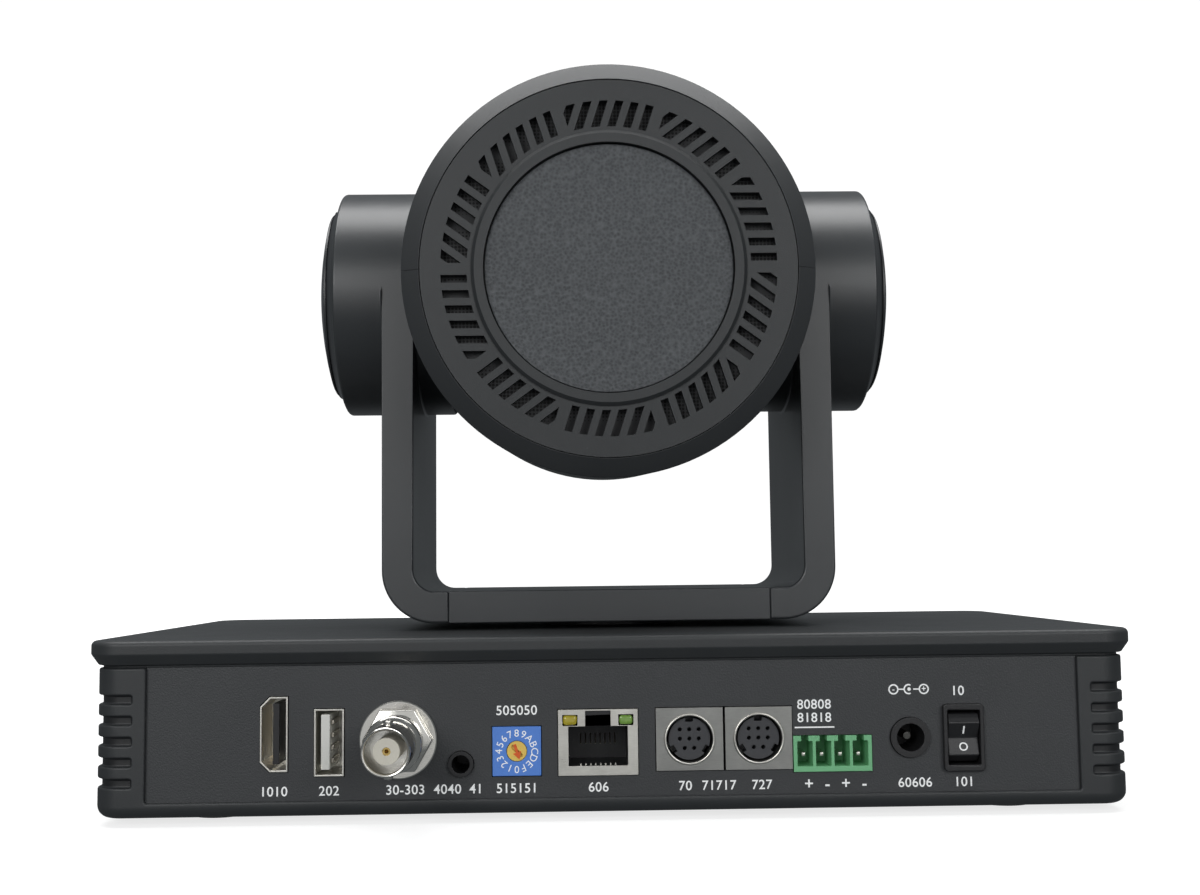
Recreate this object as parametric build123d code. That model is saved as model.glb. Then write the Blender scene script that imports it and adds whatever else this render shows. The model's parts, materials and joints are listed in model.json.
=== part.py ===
from build123d import *
import math
import os

# Pan, tilt and zoom camera on a wide desk base. Millimetres, +Z up.
# The lens looks along -Y and the sockets are on the +Y side.
# The origin is the mouth of the tripod thread, on the pan axis, in the underside of the tray.

# Base: tray, lid and rear panel
lid_width = 217.0
lid_depth = 116.4
lid_overhang = 1.7
lid_corner = 7.5
lid_top = 36.1
lid_rim = 5.0
lid_skin = 2.4
lid_bottom_chamfer = 2.2
lid_top_round = 1.1
shadow_gap = 0.6
shadow_gap_depth = 0.8
tray_wall = 3.0
tray_floor = 2.5
tray_bottom_round = 2.6
rib_groove_first = 7.2
rib_groove_last_below_top = 6.4
rib_groove_height = 1.8
rib_groove_depth = 0.9
rib_groove_count = 5
rib_groove_end = 2.8
panel_margin = 11.0
panel_lip = 3.2
panel_thickness = 1.2
panel_recess = 0.9
panel_return = 5.0
fit_gap = 0.1

# Board and the sockets that stand on it: place across the panel and height of the centre
board_top = 7.5
board_thickness = 1.6
board_share = 0.275
hdmi_at = (69.75, 16.7)
usb_at = (58.5, 14.9)
bnc_at = (44.35, 15.3)
line_in_at = (31.6, 10.2)
rotary_at = (20.15, 12.6)
lan_at = (3.45, 14.2)
din_in_at = (-15.35, 14.6)
din_out_at = (-29.6, 14.6)
header_at = (-44.8, 11.25)
dc_at = (-60.9, 14.3)
rocker_at = (-71.85, 14.2)

# Pan drive
pan_neck_radius = 16.5
pan_shaft_radius = 10.0
pan_shaft_bore = 6.0
pan_bearing_radius = 14.0
running_fit = 0.05
pan_gear_teeth = 56
pan_pinion_teeth = 14
pan_module = 0.75
bearing_drop = 1.1
gear_drop = 6.0
gear_width = 4.0
pan_motor_radius = 12.5
pan_motor_height = 14.0
pan_motor_drop = 3.0

# Yoke
arm_clearance = 0.5
arm_thickness = 7.2
bar_lift = 1.6
bar_thickness = 7.2
bar_clearance = 0.49
foot_reach = 8.0
arm_outer_round = 12.0
arm_inner_round = 5.0
pod_radius = 27.4
pod_reach_in = 7.5
pod_reach_out = 18.7
pod_shoulder = 2.2
pod_cap_margin = 4.8
pod_cap_edge = 0.6
pod_cap_rise = 3.2
pod_wall = 2.1

# Tilt drive in the left pod
tilt_shaft_radius = 5.0
tilt_bearing_radius = 9.0
tilt_gear_teeth = 40
tilt_pinion_teeth = 12
tilt_module = 0.5
gear_stand_off = 8.6
motor_stand_off = 4.8
tilt_motor_gap = 3.0

# Head: a barrel that lies along Y and is turned about the tilt axis
head_radius = 44.0
head_skin = 2.2
head_back = 57.7
head_back_round = 4.0
head_straight_front = 15.0
head_front_curve = 80.6
head_front = 52.0
head_front_round = 9.0
pocket_gap = 0.8
pocket_floor_gap = 0.6
rest_lens_up_deg = 3.0
vent_sectors = 10
vent_slots = 5
vent_margin = 4.6
vent_length = 5.5
vent_pitch = 3.2
vent_slot_width = 1.65
ring_margin = 0.9
ring_width = 2.6
ring_rise = 1.1
window_margin = 11.0
lens_tube_margin = 7.0

# Sizes that follow from the ones above
lid_rim_bottom = lid_top - lid_rim
tray_top = lid_rim_bottom - shadow_gap
tray_width = lid_width - 2 * lid_overhang
tray_depth = lid_depth - 2 * lid_overhang
tray_corner = lid_corner - lid_overhang
rib_groove_pitch = (tray_top - rib_groove_last_below_top - rib_groove_first) / (rib_groove_count - 1)
panel_width = tray_width - 2 * panel_margin
panel_back = tray_depth / 2 - panel_recess
panel_front = panel_back - panel_thickness
bearing_bottom = lid_rim_bottom - bearing_drop
pan_gear_bottom = bearing_bottom - gear_drop
pan_motor_top = pan_gear_bottom - pan_motor_drop
pan_motor_bottom = pan_motor_top - pan_motor_height
pan_centre_distance = (pan_gear_teeth + pan_pinion_teeth) * pan_module / 2
tilt_centre_distance = (tilt_gear_teeth + tilt_pinion_teeth) * tilt_module / 2
head_back_radius = head_radius - head_back_round
head_front_radius = head_radius - head_front_round
head_sweep = math.hypot(head_back_radius, head_back)
vent_outer = head_back_radius - vent_margin
vent_inner = vent_outer - vent_length
ring_radius = vent_inner - ring_margin
plate_radius = ring_radius - ring_width
window_radius = head_front_radius - window_margin
lens_tube_radius = window_radius - lens_tube_margin
yoke_gap = head_radius + arm_clearance
arm_outer = yoke_gap + arm_thickness
arm_depth = 2 * pod_radius
bar_bottom = lid_top + bar_lift
bar_top = bar_bottom + bar_thickness
bar_cover_half = yoke_gap - foot_reach
tilt_axis_height = bar_top + bar_clearance + head_sweep
pod_inner_face = yoke_gap - pod_reach_in
pod_outer_face = yoke_gap + pod_reach_out
pod_end = pod_outer_face + pod_shoulder
pod_cap_radius = pod_radius - pod_cap_margin
head_pocket_radius = pod_radius + pocket_gap
head_pocket_floor = pod_inner_face - pocket_floor_gap
gear_plane = pod_inner_face + gear_stand_off
motor_plane = gear_plane + motor_stand_off
tilt_motor_radius = pod_radius - pod_wall - tilt_centre_distance - tilt_motor_gap


def block(x0, x1, y0, y1, z0, z1):
    centre = Pos((x0 + x1) / 2, (y0 + y1) / 2, (z0 + z1) / 2)
    return centre * Box(x1 - x0, y1 - y0, z1 - z0)


def rod_x(y, z, radius, x0, x1):
    return Pos((x0 + x1) / 2, y, z) * Rot(0, 90, 0) * Cylinder(radius, abs(x1 - x0))


def rod_y(x, z, radius, y0, y1):
    return Pos(x, (y0 + y1) / 2, z) * Rot(90, 0, 0) * Cylinder(radius, abs(y1 - y0))


def rod_z(x, y, radius, z0, z1):
    return Pos(x, y, (z0 + z1) / 2) * Cylinder(radius, abs(z1 - z0))


def plate_z(width, depth, corner, z0, z1):
    outline = RectangleRounded(width, depth, corner)
    return Pos(0, 0, z0) * extrude(outline, z1 - z0)


def hexagon_y(x, z, across_flats, y0, y1):
    outline = RegularPolygon(across_flats / math.sqrt(3), 6)
    return Pos(x, y1, z) * Rot(90, 0, 0) * extrude(outline, y1 - y0)


def revolve_about_y(points):
    """Turns a closed outline of (radius, y) points about the Y axis."""
    outline = make_face(Polyline(*[(radius, y, 0) for radius, y in points], close=True))
    return revolve(outline, Axis.Y)


def gear_outline(teeth, module, first_tooth_deg):
    pitch_radius = teeth * module / 2
    root = pitch_radius - 1.25 * module
    tip = pitch_radius + 0.85 * module
    step = 2 * math.pi / teeth
    corners = []
    for tooth in range(teeth):
        middle = math.radians(first_tooth_deg) + tooth * step
        for radius, share in ((root, -0.29), (pitch_radius, -0.21), (tip, -0.11),
                              (tip, 0.11), (pitch_radius, 0.21), (root, 0.29)):
            angle = middle + share * step
            corners.append((radius * math.cos(angle), radius * math.sin(angle)))
    return make_face(Polyline(*corners, close=True))


def save(name, *solids):
    shape = solids[0] if len(solids) == 1 else Compound(children=list(solids))
    shape.label = name
    export_step(shape, f"parts/{name}.step")


# ---------------------------------------------------------------- base

foot_radius = 7.0
foot_recess = 1.0
foot_drop = 1.5
foot_inset = (22.8, 16.5)
foot_places = [(x * (tray_width / 2 - foot_inset[0]), y * (tray_depth / 2 - foot_inset[1]))
               for x in (-1, 1) for y in (-1, 1)]
bracket_spacing = (tray_width - 73.6, tray_depth - 53.0)
bracket_hole = 1.25
bracket_boss = 3.6
bracket_boss_top = 5.6
bracket_places = [(x * bracket_spacing[0] / 2, y * bracket_spacing[1] / 2)
                  for x in (-1, 1) for y in (-1, 1)]
lid_screw_inset = (9.8, 8.5, 12.5)
lid_screw_places = [(side * (tray_width / 2 - lid_screw_inset[0]), y) for side in (-1, 1)
                    for y in (lid_screw_inset[1] - tray_depth / 2, tray_depth / 2 - lid_screw_inset[2])]
lid_screw_boss = 4.0
lid_screw_radius = 1.5
lid_screw_head = 2.8
lid_screw_head_depth = 2.4
tripod_boss = 8.5
insert_radius = 5.5
insert_flange = 7.0
insert_flange_height = 1.2
insert_height = 10.0
tripod_thread_radius = 2.6
tripod_thread_length = 9.0
board_depth = board_share * lid_depth
board_back = panel_front - 0.6
board_half = panel_width / 2 - 3.8
board_standoffs = [(x * board_half, board_back - y) for x in (-0.91, -0.43, 0.43, 0.91) for y in (0.93 * board_depth, 0.62 * board_depth)]
window_half = 34.0
window_bottom = 7.0
window_top = tray_top - 3.8
window_thickness = 1.6


def make_tray():
    tray = plate_z(tray_width, tray_depth, tray_corner, 0, tray_top)
    tray = fillet(tray.edges().group_by(Axis.Z)[0], tray_bottom_round)
    inside = plate_z(tray_width - 2 * tray_wall, tray_depth - 2 * tray_wall,
                     tray_corner - tray_wall, tray_floor, tray_top + 1)
    tray -= inside
    # Five grooves run round both ends and stop short of the panel and of the window.
    for index in range(rib_groove_count):
        z = rib_groove_first + index * rib_groove_pitch
        band = plate_z(tray_width + 2, tray_depth + 2, tray_corner + 1,
                       z - rib_groove_height / 2, z + rib_groove_height / 2)
        band -= plate_z(tray_width - 2 * rib_groove_depth, tray_depth - 2 * rib_groove_depth,
                        tray_corner - rib_groove_depth, z - rib_groove_height, z + rib_groove_height)
        band -= block(-panel_width / 2 - rib_groove_end, panel_width / 2 + rib_groove_end,
                      -tray_depth, tray_depth, 0, tray_top)
        tray -= band
    # The panel stands on the rear lip, between the two ends.
    tray -= block(-panel_width / 2, panel_width / 2, tray_depth / 2 - tray_wall - 1,
                  tray_depth / 2 + 1, panel_lip, tray_top + 1)
    tray -= block(-window_half, window_half, -tray_depth / 2 - 1, -tray_depth / 2 + tray_wall + 1,
                  window_bottom, window_top)
    for x, y in lid_screw_places:
        tray += rod_z(x, y, lid_screw_boss, 0.5, tray_top)
        tray -= rod_z(x, y, lid_screw_radius + fit_gap, -1, tray_top + 1)
        tray -= rod_z(x, y, lid_screw_head + fit_gap, -1, lid_screw_head_depth)
    for x, y in board_standoffs:
        tray += rod_z(x, y, 2.6, tray_floor - 0.5, board_top - board_thickness)
    tray += rod_z(0, 0, tripod_boss, 0.5, insert_height)
    tray -= rod_z(0, 0, insert_radius, -1, insert_height + 1)
    tray -= rod_z(0, 0, insert_flange, -1, insert_flange_height)
    for x, y in bracket_places:
        tray += rod_z(x, y, bracket_boss, tray_floor - 0.5, bracket_boss_top)
        tray -= rod_z(x, y, bracket_hole, -1, bracket_boss_top + 1)
    for x, y in foot_places:
        tray -= rod_z(x, y, foot_radius, -1, foot_recess)
    # Seat of the pan motor, beside the tripod boss
    seat = rod_z(pan_centre_distance, 0, pan_motor_radius + 2.0, tray_floor - 0.5, pan_motor_bottom + 2.0)
    seat -= rod_z(pan_centre_distance, 0, pan_motor_radius, pan_motor_bottom, pan_motor_bottom + 2.5)
    tray += seat
    return tray


def make_lid():
    rim = plate_z(lid_width, lid_depth, lid_corner, lid_rim_bottom, lid_top)
    rim = chamfer(rim.edges().group_by(Axis.Z)[0], lid_bottom_chamfer, lid_bottom_chamfer * 0.7)
    rim = fillet(rim.edges().group_by(Axis.Z)[-1], lid_top_round)
    seat = shadow_gap_depth
    lid = rim + plate_z(tray_width - 2 * seat, tray_depth - 2 * seat, tray_corner - seat,
                        tray_top, lid_rim_bottom + 0.5)
    lid -= plate_z(tray_width - 2 * tray_wall, tray_depth - 2 * tray_wall,
                   tray_corner - tray_wall, tray_top - 1, lid_top - lid_skin)
    for x, y in lid_screw_places:
        lid += rod_z(x, y, lid_screw_boss, tray_top, lid_top - lid_skin + 0.5)
        lid -= rod_z(x, y, lid_screw_radius, tray_top - 1, lid_top - lid_skin + 0.2)
    lid += rod_z(0, 0, pan_bearing_radius + 2.6, bearing_bottom, lid_top - lid_skin + 0.5)
    lid -= rod_z(0, 0, pan_bearing_radius, bearing_bottom - 1, lid_top + 1)
    return lid


def make_base():
    save("base_tray", make_tray())
    save("base_lid", make_lid())
    screws = []
    for x, y in lid_screw_places:
        screw = rod_z(x, y, lid_screw_radius, 1.0, lid_top - lid_skin)
        screw += rod_z(x, y, lid_screw_head, 0.3, lid_screw_head_depth)
        screw -= block(x - 1.9, x + 1.9, y - 0.35, y + 0.35, 0.0, 1.4)
        screw -= block(x - 0.35, x + 0.35, y - 1.9, y + 1.9, 0.0, 1.4)
        screws.append(screw)
    save("lid_screws", *screws)
    feet = []
    for x, y in foot_places:
        foot = rod_z(x, y, foot_radius, -foot_drop, foot_recess)
        feet.append(fillet(foot.edges().group_by(Axis.Z)[0], 0.6))
    save("rubber_feet", *feet)
    insert = rod_z(0, 0, insert_radius, 0, insert_height)
    insert += rod_z(0, 0, insert_flange, 0, insert_flange_height)
    insert -= rod_z(0, 0, tripod_thread_radius, -1, tripod_thread_length)
    save("tripod_insert", insert)
    window_back = -tray_depth / 2 + 0.6 + window_thickness
    window = block(-window_half, window_half, window_back - window_thickness, window_back,
                   window_bottom, window_top)
    window += block(-window_half - 2, window_half + 2, -tray_depth / 2 + tray_wall,
                    -tray_depth / 2 + tray_wall + 1.2, window_bottom - 2, window_top + 2)
    window += block(-window_half, window_half, window_back - 0.1, -tray_depth / 2 + tray_wall + 0.1,
                    window_bottom, window_top)
    save("front_window", window)
    # Board behind the window, with the remote control's receiver and a status light on it
    sensor_front = -tray_depth / 2 + tray_wall + 1.2
    led = rod_y(-21.5, 16, 2.5, sensor_front, sensor_front + 5)
    receiver = block(18, 25, sensor_front, sensor_front + 5, 12, 20)
    receiver += Pos(21.5, sensor_front + 2.6, 16) * Sphere(2.4)
    board = block(-32, 32, sensor_front + 5, sensor_front + 6.4, tray_floor, window_top + 0.5)
    save("receiver_board", board, led, receiver)


# ---------------------------------------------------------------- sockets

socket_face = panel_back + 0.4
hdmi_size = (5.65, 15.2)
hdmi_depth = 11.0
hdmi_cut = 2.0
usb_size = (6.1, 13.6)
usb_depth = 13.0
lan_size = (16.4, 13.4)
lan_depth = 15.0
lan_cavity = (12.2, 8.0)
lan_floor = 1.95
lan_light = (4.2, 7.3, 3.4, 5.6)
lan_latch = (2.6, 6.4)
din_size = (13.8, 12.75)
din_depth = 12.0
din_ring_radius = 5.15
din_mouth_radius = 4.75
din_insert_radius = 4.3
header_size = (16.2, 7.3)
header_pitch = 3.81
header_depth = 9.0
rotary_size = 10.0
rotary_depth = 7.0
rotor_radius = 2.05
dc_collar_radius = 4.1
dc_hole_radius = 2.85
line_in_collar_radius = 2.6
line_in_hole_radius = 1.85
rocker_bezel = (8.4, 13.7)
rocker_size = (6.4, 10.5)
bnc_flange_radius = 7.7
bnc_washer_radius = 7.95
bnc_washer_thickness = 0.8
bnc_nut_flats = 12.5
bnc_nut_thickness = 2.0
bnc_thread_radius = 5.4
bnc_shell_radius = 4.8
bnc_length = 20.5


def on_board(x, z, width, height, depth, front=socket_face):
    """Housing of a socket, from its face to the far end, standing on the board behind the panel."""
    face = block(x - width / 2, x + width / 2, front - depth, front,
                 max(board_top, z - height / 2), z + height / 2)
    stand = block(x - width / 2, x + width / 2, front - depth, panel_front - 0.2, board_top, z)
    return face + stand


def hollow(x, z, width, height, depth, front=socket_face):
    return block(x - width / 2, x + width / 2, front - depth, front + 1, z - height / 2, z + height / 2)


def panel_cuts():
    cuts = []
    for place, size in ((usb_at, usb_size), (lan_at, lan_size), (header_at, header_size),
                        (rotary_at, (rotary_size, rotary_size)), (rocker_at, (7.2, 12.4))):
        cuts.append(hollow(place[0], place[1], size[0] + 0.3, size[1] + 0.3, 6))
    cuts.append(chamfered_slot(hdmi_at[0], hdmi_at[1], hdmi_size[0] + 0.3, hdmi_size[1] + 0.3, hdmi_cut,
                               panel_front - 1, panel_back + 1))
    # The two control sockets sit side by side in one opening.
    middle = (din_in_at[0] + din_out_at[0]) / 2
    span = din_in_at[0] - din_out_at[0] + din_size[0]
    cuts.append(hollow(middle, din_in_at[1], span + 0.3, din_size[1] + 0.3, 6))
    for place, radius in ((bnc_at, bnc_thread_radius), (line_in_at, line_in_collar_radius),
                          (dc_at, dc_collar_radius)):
        cuts.append(rod_y(place[0], place[1], radius + 0.1, panel_front - 1, panel_back + 1))
    return cuts


def make_panel():
    panel = block(-panel_width / 2, panel_width / 2, panel_front, panel_back, panel_lip, tray_top)
    for side in (-1, 1):
        edge = side * panel_width / 2
        x0, x1 = sorted((edge, edge - side * panel_thickness))
        panel += block(x0, x1, panel_front - panel_return, panel_front + 0.1, panel_lip, tray_top)
    for cut in panel_cuts():
        panel -= cut
    save("rear_panel", panel)
    board = block(-board_half, board_half, board_back - board_depth, board_back,
                  board_top - board_thickness, board_top)
    save("main_board", board)
    chips = []
    for x, width, share, depth, height in ((-0.04, 20, 0.93, 15, 2.1), (0.54, 12, 0.87, 12, 1.5),
                                           (-0.51, 10, 0.93, 10, 1.9), (0.76, 12, 0.93, 10, 5.0)):
        middle = x * board_half
        front = share * board_depth
        chips.append(block(middle - width / 2, middle + width / 2, board_back - front,
                           board_back - front + depth, board_top, board_top + height))
    for x in (-0.78, -0.69, 0.28, 0.35):
        chips.append(rod_z(x * board_half, board_back - 0.84 * board_depth, 2.6, board_top, 14.5))
    save("board_components", *chips)


def chamfered_slot(x, z, width, height, cut, y0, y1):
    """Upright slot whose two corners on the +X side are cut off."""
    corners = [(x - width / 2, z - height / 2), (x + width / 2 - cut, z - height / 2),
               (x + width / 2, z - height / 2 + cut), (x + width / 2, z + height / 2 - cut),
               (x + width / 2 - cut, z + height / 2), (x - width / 2, z + height / 2)]
    outline = make_face(Polyline(*[(a, y1, b) for a, b in corners], close=True))
    return extrude(outline, y1 - y0, dir=(0, -1, 0))


def make_hdmi():
    x, z = hdmi_at
    width, height = hdmi_size
    shell = chamfered_slot(x, z, width, height, hdmi_cut, socket_face - hdmi_depth, socket_face)
    shell -= chamfered_slot(x, z, width - 0.7, height - 0.7, hdmi_cut - 0.2, socket_face - hdmi_depth + 1,
                            socket_face + 1)
    shell += block(x - 1.5, x + 1.5, socket_face - hdmi_depth, socket_face - 3, board_top,
                   z - height / 2 + 0.2)
    save("hdmi_shell", shell)
    tongue = block(x - 0.9, x + 0.4, socket_face - hdmi_depth + 1, socket_face - 1.2, z - 6.2, z + 6.2)
    save("hdmi_tongue", tongue)


def make_usb():
    x, z = usb_at
    width, height = usb_size
    shell = on_board(x, z, width, height, usb_depth)
    shell -= hollow(x, z, width - 0.7, height - 0.7, usb_depth - 1)
    shell += block(x - 2, x + 2, socket_face - usb_depth, socket_face - 3, board_top, z - height / 2 + 0.2)
    save("usb_shell", shell)
    tongue = block(x, x + 1.8, socket_face - usb_depth + 1, socket_face - 1.0, z - 5.6, z + 5.6)
    save("usb_tongue", tongue)


def make_bnc():
    x, z = bnc_at
    body = rod_y(x, z, bnc_thread_radius, panel_front - 6, panel_back + 3.6)
    body += rod_y(x, z, bnc_flange_radius, panel_front - 3.2, panel_front)
    body += rod_y(x, z, bnc_shell_radius, panel_back + 3.0, panel_back + bnc_length)
    body += block(x - 4, x + 4, panel_front - 9, panel_front - 3, board_top, z + 4)
    for side in (-1, 1):
        lug = rod_z(x, panel_back + bnc_length - 4.5, 0.95, z + side * 3.9, z + side * 5.6)
        body += lug
    body -= rod_y(x, z, 4.1, panel_back + bnc_length - 9, panel_back + bnc_length + 1)
    save("bnc_body", body)
    nut_front = panel_back + bnc_washer_thickness + bnc_nut_thickness
    nut = hexagon_y(x, z, bnc_nut_flats, panel_back, nut_front)
    nut += rod_y(x, z, bnc_washer_radius, panel_back, panel_back + bnc_washer_thickness)
    nut -= rod_y(x, z, bnc_thread_radius, panel_back - 1, panel_back + 5)
    save("bnc_nut", nut)
    bnc_tip = panel_back + bnc_length
    insulator = rod_y(x, z, 2.6, bnc_tip - 9, bnc_tip - 1.5)
    insulator -= rod_y(x, z, 0.8, bnc_tip - 10, bnc_tip)
    save("bnc_insulator", insulator)
    contact = rod_y(x, z, 0.8, bnc_tip - 9, bnc_tip - 2)
    contact -= rod_y(x, z, 0.4, bnc_tip - 7, bnc_tip)
    save("bnc_contact", contact)


def make_round_jacks():
    x, z = line_in_at
    jack = on_board(x, z, 6.4, 5.6, 12, front=panel_front - 0.05)
    jack += rod_y(x, z, line_in_collar_radius, panel_front - 2, panel_back + 0.9)
    jack -= rod_y(x, z, line_in_hole_radius, panel_front - 11, panel_back + 2)
    save("line_in_jack", jack)
    x, z = dc_at
    jack = on_board(x, z, 9.0, 10.6, 12, front=panel_front - 0.05)
    jack += rod_y(x, z, dc_collar_radius, panel_front - 2, panel_back + 0.7)
    jack -= rod_y(x, z, dc_hole_radius, panel_front - 10, panel_back + 2)
    save("dc_jack", jack)
    save("dc_pin", rod_y(x, z, 0.85, panel_front - 10, panel_back - 2.6))


def make_rotary():
    x, z = rotary_at
    front = socket_face - 0.2
    body = on_board(x, z, rotary_size, rotary_size, rotary_depth, front=front)
    body -= rod_y(x, z, rotor_radius + 0.08, front - 4, front + 1)
    save("rotary_switch_body", body)
    dial = rod_y(x, z, rotor_radius, front - 4, front - 0.2)
    slot = Pos(x, front, z) * Rot(0, 45, 0) * Box(0.7, 1.6, 3.0)
    save("rotary_dial", dial - slot)


def make_lan():
    """Sheet-metal shield with a shaped window in its face, and the moulded insert behind it."""
    x, z = lan_at
    width, height = lan_size
    inside = hollow(x, z, width - 0.7, height - 0.7, lan_depth - 1)
    inside = inside & block(x - width, x + width, 0, socket_face - 0.35, 0, 2 * z)
    floor = z - height / 2 + lan_floor
    cavity = block(x - lan_cavity[0] / 2, x + lan_cavity[0] / 2, socket_face - 12.5, socket_face + 1,
                   floor, floor + lan_cavity[1])
    cavity += block(x - lan_latch[0], x + lan_latch[0], socket_face - 12.5, socket_face + 1,
                    floor, z + lan_latch[1] - 1.0)
    window = cavity + block(x - lan_latch[0], x + lan_latch[0], socket_face - 0.4, socket_face + 1,
                            z, z + lan_latch[1])
    lights = []
    near, far, low, high = lan_light
    for side in (-1, 1):
        x0, x1 = sorted((x + side * near, x + side * far))
        pocket = block(x0, x1, socket_face - 6, socket_face + 1, z + low, z + high)
        window += pocket
        lights.append(pocket & block(x - width, x + width, 0, socket_face - 0.1, 0, 2 * z))
        inside -= pocket
    save("lan_shield", on_board(x, z, width, height, lan_depth) - inside - window
         - hollow(x, z, width - 0.7, height - 0.7, lan_depth - 1, front=socket_face - 1.35))
    save("lan_insert", inside - cavity)
    save("lan_leds", *lights)


def mini_din(place):
    """Shell and insert of one eight-pin socket."""
    x, z = place
    width, height = din_size
    shell = on_board(x, z, width, height, din_depth)
    shell += rod_y(x, z, din_ring_radius, socket_face - 1, socket_face + 0.3)
    shell -= rod_y(x, z, din_mouth_radius, socket_face - 9.5, socket_face + 1)
    insert = rod_y(x, z, din_insert_radius, socket_face - 9.5, socket_face - 0.7)
    for row, count in ((1.9, 3), (0.0, 3), (-1.9, 2)):
        for index in range(count):
            hole_x = x + (index - (count - 1) / 2) * 1.95
            insert -= rod_y(hole_x, z + row, 0.42, socket_face - 4, socket_face)
    for angle in (90, 213, 327):
        notch = Pos(x + din_insert_radius * math.cos(math.radians(angle)), socket_face - 2,
                    z + din_insert_radius * math.sin(math.radians(angle)))
        insert -= notch * Rot(0, -angle, 0) * Box(1.7, 4, 1.6)
    return shell, insert


def make_mini_dins():
    sockets = [mini_din(din_in_at), mini_din(din_out_at)]
    save("control_shells", *[shell for shell, insert in sockets])
    save("control_inserts", *[insert for shell, insert in sockets])


def make_header():
    x, z = header_at
    width, height = header_size
    housing = on_board(x, z, width, height, header_depth)
    pins = []
    for index in range(4):
        cell = x + (index - 1.5) * header_pitch
        housing -= hollow(cell, z, header_pitch - 0.65, height - 2.2, header_depth - 1.5)
        housing -= hollow(cell, z + 2.9, 1.5, 3.4, header_depth - 4)
        pins.append(block(cell - 0.4, cell + 0.4, socket_face - header_depth + 1.5, socket_face - 2.4,
                          z - 0.8, z))
    save("terminal_header", housing)
    save("terminal_pins", *pins)


rocker_tilt_deg = 8.0
rocker_pivot_depth = 1.2


def make_rocker():
    x, z = rocker_at
    bezel = block(x - rocker_bezel[0] / 2, x + rocker_bezel[0] / 2, panel_back, panel_back + 1.2,
                  z - rocker_bezel[1] / 2, z + rocker_bezel[1] / 2)
    bezel = fillet(bezel.edges().filter_by(Axis.Y), 0.8)
    bezel += block(x - 3.55, x + 3.55, panel_front - 9, panel_back + 0.1, z - 6.1, z + 6.1)
    bezel -= block(x - rocker_size[0] / 2 - 0.15, x + rocker_size[0] / 2 + 0.15, panel_front - 5.5,
                   panel_back + 2, z - rocker_size[1] / 2 - 0.3, z + rocker_size[1] / 2 + 0.3)
    pivot = panel_back - rocker_pivot_depth
    for side in (-1, 1):
        bezel -= rod_x(pivot, z, 0.75, x + side * 2, x + side * 3.4)
    save("switch_bezel", bezel)
    # Two faces meet at the middle; the lower end is pressed in when the camera is off.
    half = rocker_size[1] / 2
    corners = [(pivot + 1.0, 0), (pivot + 2.3, half - 1.9), (pivot + 0.9, half - 0.25),
               (pivot - 2.6, half - 0.25), (pivot - 3.4, 0), (pivot - 2.6, -half + 0.25),
               (pivot + 0.9, -half + 0.25), (pivot + 2.3, -half + 1.9)]
    outline = make_face(Polyline(*[(0, y, height) for y, height in corners], close=True))
    key = extrude(outline, rocker_size[0] / 2, dir=(1, 0, 0), both=True)
    key += rod_x(pivot, 0, 0.7, -rocker_size[0] / 2 - 0.1, rocker_size[0] / 2 + 0.1)
    key = Pos(0, pivot, 0) * Rot(-rocker_tilt_deg, 0, 0) * Pos(0, -pivot, 0) * key
    save("power_rocker", Pos(x, 0, z) * key)


def make_sockets():
    make_panel()
    make_hdmi()
    make_usb()
    make_bnc()
    make_round_jacks()
    make_rotary()
    make_lan()
    make_mini_dins()
    make_header()
    make_rocker()


# ---------------------------------------------------------------- pan drive

hub_lift = 0.3
pan_motor_shaft = 1.5


def make_pan_drive():
    bearing = rod_z(0, 0, pan_bearing_radius, bearing_bottom, lid_top)
    bearing -= rod_z(0, 0, pan_shaft_radius + running_fit, bearing_bottom - 1, lid_top + 1)
    save("pan_bearing", bearing)
    hub = rod_z(0, 0, pan_neck_radius, lid_top + hub_lift, bar_bottom)
    hub += rod_z(0, 0, pan_shaft_radius, pan_gear_bottom - 1, bar_bottom)
    hub -= rod_z(0, 0, pan_shaft_bore, pan_gear_bottom - 2, bar_bottom + 1)
    save("pan_hub", hub)
    gear = Pos(0, 0, pan_gear_bottom) * extrude(gear_outline(pan_gear_teeth, pan_module, 0), gear_width)
    gear += rod_z(0, 0, pan_shaft_radius + 3.5, pan_gear_bottom, bearing_bottom - hub_lift)
    gear -= rod_z(0, 0, pan_shaft_radius, pan_gear_bottom - 1, bearing_bottom + 1)
    save("pan_gear", gear)
    motor_x = pan_centre_distance
    shaft_top = pan_gear_bottom + gear_width + 1
    motor = rod_z(motor_x, 0, pan_motor_radius, pan_motor_bottom, pan_motor_top)
    motor += rod_z(motor_x, 0, pan_motor_shaft, pan_motor_top, shaft_top)
    save("pan_motor", motor)
    first_tooth = 180 + 180 / pan_pinion_teeth
    pinion = extrude(gear_outline(pan_pinion_teeth, pan_module, first_tooth), gear_width)
    pinion = Pos(motor_x, 0, pan_gear_bottom) * pinion
    pinion -= rod_z(motor_x, 0, pan_motor_shaft + running_fit, pan_gear_bottom - 1, shaft_top)
    save("pan_pinion", pinion)


# ---------------------------------------------------------------- yoke

arm_duct = 3.0
bearing_width = 5.0
pod_end_wall = 2.0
ear_half = 4.0
ear_gap = 0.3
motor_ear = math.sqrt((pod_radius - pod_wall - ear_gap) ** 2 - (tilt_centre_distance + ear_half) ** 2)


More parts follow.
